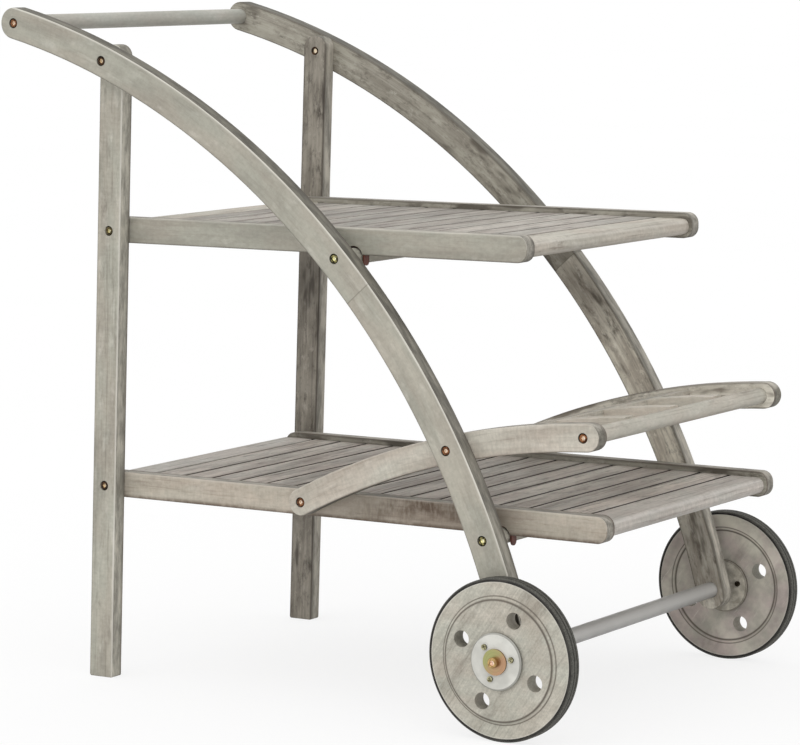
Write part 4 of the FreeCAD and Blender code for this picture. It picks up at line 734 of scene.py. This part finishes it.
BOARDS = {
    "right_arm_upper": (arms, {"tone": 0.94, "edge": UPPER_ARM_EDGE}),
    "right_arm_lower": (arms, {}),
    "left_arm_upper": (arms, {"bare_tone": 1.14}),
    "left_arm_lower": (arms, {"bare": BARE_ARM, "bare_tone": 1.62, "edge": PALE_ARM_EDGE,
                              "shade_heights": (SHADE_BELOW_UPPER, SHADE_BELOW_LOWER, SHADE_BY_AXLE)}),
    "right_leg": (legs, {}),
    "left_leg": (legs, {"edge": FAR_LEG_EDGE, "bare_tone": 1.12}),
    "upper_shelf_right_rail": (upper_rails, {"tone": 0.9}),
    "upper_shelf_left_rail": (upper_rails, {"bare_tone": 1.1}),
    "lower_shelf_right_rail": (lower_rails, {"tone": 1.05}),
    "lower_shelf_left_rail": (lower_rails, {"bare_tone": 0.95}),
    "front_shelf_right_rail": (front_rails, {"tone": 1.11}),
    "front_shelf_left_rail": (front_rails, {"bare_tone": 1.58}),
}

cross_rails = dict(coat=LILAC, flow=straight("y"), face="z", wear_and_highlight=0.4, tone=1.06, streak=0.55,
                   hatch=0.07)
ribs = dict(coat=WARM, flow=bent(FRONT_BEND), tone=1.25, wear_and_highlight=0.8)
bars = dict(coat=PALE, flow=straight("y"), streak=0.06, hatch=0.01)
STICKS = {
    "handle_bar": (bars, {}),
    "upper_crossbar": (bars, {"coat": GREY}),
    "lower_crossbar": (bars, {"coat": GREY}),
    "upper_shelf_front_rail": (cross_rails, {"coat": WARM}),
    "upper_shelf_rear_rail": (cross_rails, {"coat": WARM}),
    "lower_shelf_front_rail": (cross_rails, {}),
    "lower_shelf_rear_rail": (cross_rails, {}),
    "front_shelf_rear_rail": (cross_rails, {"coat": WARM}),
    "front_shelf_bar": (bars, {"coat": WARM, "streak": 0.35}),
    "front_shelf_rib_1": (ribs, {}),
    "front_shelf_rib_2": (ribs, {}),
    "front_shelf_rib_3": (ribs, {}),
}
FINISHES = {}
for seed, (name, (kind, own)) in enumerate(BOARDS.items()):
    FINISHES[name] = board(name, seed=seed, **{**kind, **own})
for seed, (name, (kind, own)) in enumerate(STICKS.items(), len(BOARDS)):
    FINISHES[name] = stick(name, seed=seed, **{**kind, **own})
seed = len(BOARDS) + len(STICKS)
# The slats' and discs' tones are partly painted light too: the lower slats and the far wheel's inner face
# are made lighter against the shade they get.
FINISHES["upper_shelf_slats"] = deck("upper_shelf_slats", UPPER_DECK, UPPER_PITCH, seed, tone=0.98)
FINISHES["lower_shelf_slats"] = deck("lower_shelf_slats", LOWER_DECK, LOWER_PITCH, seed + 1, tone=1.36)
FINISHES["right_wheel_disc"] = wheel_wood("right_wheel_wood", "right", tone=1.02, inner_tone=1.0)
FINISHES["left_wheel_disc"] = wheel_wood("left_wheel_wood", "left", tone=1.0, inner_tone=1.15)

# Paint, plastic and plain metal: light, dark and rim colours, the rim colour both for specks of grime and
# for painted shade on side walls, and clouds per metre.
hub_paint = smooth("hub_paint", rgb(214, 213, 206), rgb(191, 190, 183), rgb(112, 111, 104), scale=45.0,
                   wall_shade_share=1.0, grime=0.2)
inner_hub_paint = smooth("inner_hub_paint", rgb(202, 196, 182), rgb(152, 146, 133), rgb(84, 78, 69),
                         scale=110.0, wall_shade_share=1.0, rough=0.6, grime=0.8)
tube_paint = smooth("tube_paint", rgb(186, 184, 180), rgb(176, 174, 170), rgb(140, 138, 132), scale=9.0,
                    rough=0.4, grime=0.02, specular=0.5, dents=0.01, downward_shade=0.5)
clip_plastic = smooth("clip_plastic", rgb(112, 62, 48), rgb(72, 36, 27), rgb(52, 26, 20), scale=120.0)
plain_steel = metal("plain_steel", rgb(176, 176, 172), rgb(130, 130, 128), rgb(96, 96, 94))
screw_brass = metal("screw_brass", rgb(190, 186, 150), rgb(120, 114, 84), rgb(56, 52, 40))
dark_screw = metal("dark_screw", rgb(86, 78, 62), rgb(56, 50, 40), rgb(36, 32, 27))
FINISHES.update({
    "axle_tube": tube_paint,
    "axle_plugs": plain_steel,
    "axle_spacers": plain_steel,
    "axle_washers": washer_zinc("washer_zinc"),
    "right_hub_screws": screw_brass,
    "left_hub_screws": dark_screw,
    "upper_shelf_clips": clip_plastic,
    "lower_shelf_clips": clip_plastic,
})

# Bolts and sleeve nuts: colours of the socket's painted glint, the head, and the side walls' painted shade,
# which also clouds the head.
COPPER = (rgb(246, 226, 204), rgb(150, 100, 66), rgb(78, 50, 34))
BRASS = (rgb(252, 248, 206), rgb(150, 142, 92), rgb(48, 44, 30))
ZINC = (rgb(255, 232, 214), rgb(204, 172, 112), rgb(152, 120, 78))
BRONZE = (rgb(232, 214, 184), rgb(84, 62, 44), rgb(40, 30, 23))
OLD_BRASS = (rgb(230, 222, 184), rgb(98, 86, 56), rgb(34, 30, 21))
DARK_BRONZE = (rgb(132, 108, 82), rgb(84, 62, 44), rgb(36, 28, 22))
BOLTS = {
    "handle_bolts": COPPER,
    "leg_bolts": BRONZE,
    "crossbar_bolts": BRASS,
    "upper_shelf_pivot_bolts": OLD_BRASS,
    "lower_shelf_bolts": BRONZE,
    "front_shelf_arm_bolts": COPPER,
    "front_shelf_rear_bolts": COPPER,
    "front_shelf_bar_bolts": COPPER,
}
for name, colours in BOLTS.items():
    FINISHES[name] = socket_metal(name, *colours)
FINISHES["axle_bolts"] = socket_metal("axle_bolts", *ZINC, axis=wheel_middle)
FINISHES["sleeve_nuts"] = socket_metal("sleeve_nuts", *DARK_BRONZE, inwards=True)
for side in ("right", "left"):
    FINISHES[side + "_inner_hub_plate"] = inner_hub_paint
    FINISHES[side + "_outer_hub_plate"] = hub_paint
    FINISHES[side + "_tyre"] = rubber(side + "_rubber", side)
for name, node in nodes.items():
    node.data.materials.clear()
    node.data.materials.append(FINISHES[name])

# Floor: a wide white sheet that keeps a soft shadow.
FLOOR_HALF = 60.0
FLOOR_GLOW = 0.8
FLOOR_GREY = rgb(244, 244, 244)
FLOOR_WHITE = rgb(250, 250, 250)
floor_mesh = bpy.data.meshes.new("floor")
floor_mesh.from_pydata([(-FLOOR_HALF, -FLOOR_HALF, 0), (FLOOR_HALF, -FLOOR_HALF, 0),
                        (FLOOR_HALF, FLOOR_HALF, 0), (-FLOOR_HALF, FLOOR_HALF, 0)], [], [(0, 1, 2, 3)])
floor = bpy.data.objects.new("floor", floor_mesh)
bpy.context.scene.collection.objects.link(floor)
sheet = material("floor_white")
unevenness = sheet.noise(sheet.place(), *FLOOR_CLOUDS)
sheet_colour = sheet.mix(unevenness, FLOOR_GREY, FLOOR_WHITE)
glow = sheet.add("ShaderNodeEmission")
sheet.put(glow.inputs["Strength"], 1.0)
blend = sheet.add("ShaderNodeMixShader")
sheet.put(blend.inputs[0], sheet.times(sheet.seen_directly(), FLOOR_GLOW))
sheet.put(blend.inputs[1], sheet.surface(sheet_colour, 0.9, specular=0.1))
sheet.put(blend.inputs[2], glow.outputs[0])
floor_mesh.materials.append(sheet.close(blend.outputs[0]))

# Soft studio light: an even surround that looks white, and one broad light from above and the near side.
SURROUND = 0.78
KEY_ENERGY = 1.1
KEY_SPREAD = math.radians(100)
KEY_DIRECTION = Vector((0.12, 0.52, -0.85))
studio = Graph(bpy.data.worlds.new("studio"))
background = studio.add("ShaderNodeBackground")
studio.put(background.inputs["Color"], (1.0, 1.0, 1.0, 1.0))
studio.put(background.inputs["Strength"], studio.ease(studio.seen_directly(), 0.0, 1.0, SURROUND, 1.0))
bpy.context.scene.world = studio.close(background.outputs[0], "ShaderNodeOutputWorld")
key_data = bpy.data.lights.new("key", "SUN")
key_data.energy = KEY_ENERGY
key_data.angle = KEY_SPREAD
key = bpy.data.objects.new("key", key_data)
key.rotation_euler = KEY_DIRECTION.to_track_quat("-Z", "Y").to_euler()
bpy.context.scene.collection.objects.link(key)

# Camera at the photo's angle.
CAMERA_AT = Vector((2.3683, -3.7498, 0.9162))
CAMERA_AIM = Vector((0.0037, 0.0, 0.3823))
CAMERA_ROLL = math.radians(-0.15)
SENSOR_WIDTH = 36.0
LENS = 158.7
camera_data = bpy.data.cameras.new("camera")
camera_data.sensor_fit = "HORIZONTAL"
camera_data.sensor_width = SENSOR_WIDTH
camera_data.lens = LENS
camera = bpy.data.objects.new("camera", camera_data)
turned = (CAMERA_AIM - CAMERA_AT).to_track_quat("-Z", "Y").to_matrix().to_4x4()
camera.matrix_world = Matrix.Translation(CAMERA_AT) @ turned @ Matrix.Rotation(CAMERA_ROLL, 4, "Z")
bpy.context.scene.collection.objects.link(camera)
bpy.context.scene.camera = camera
bpy.context.scene.view_settings.view_transform = "Standard"
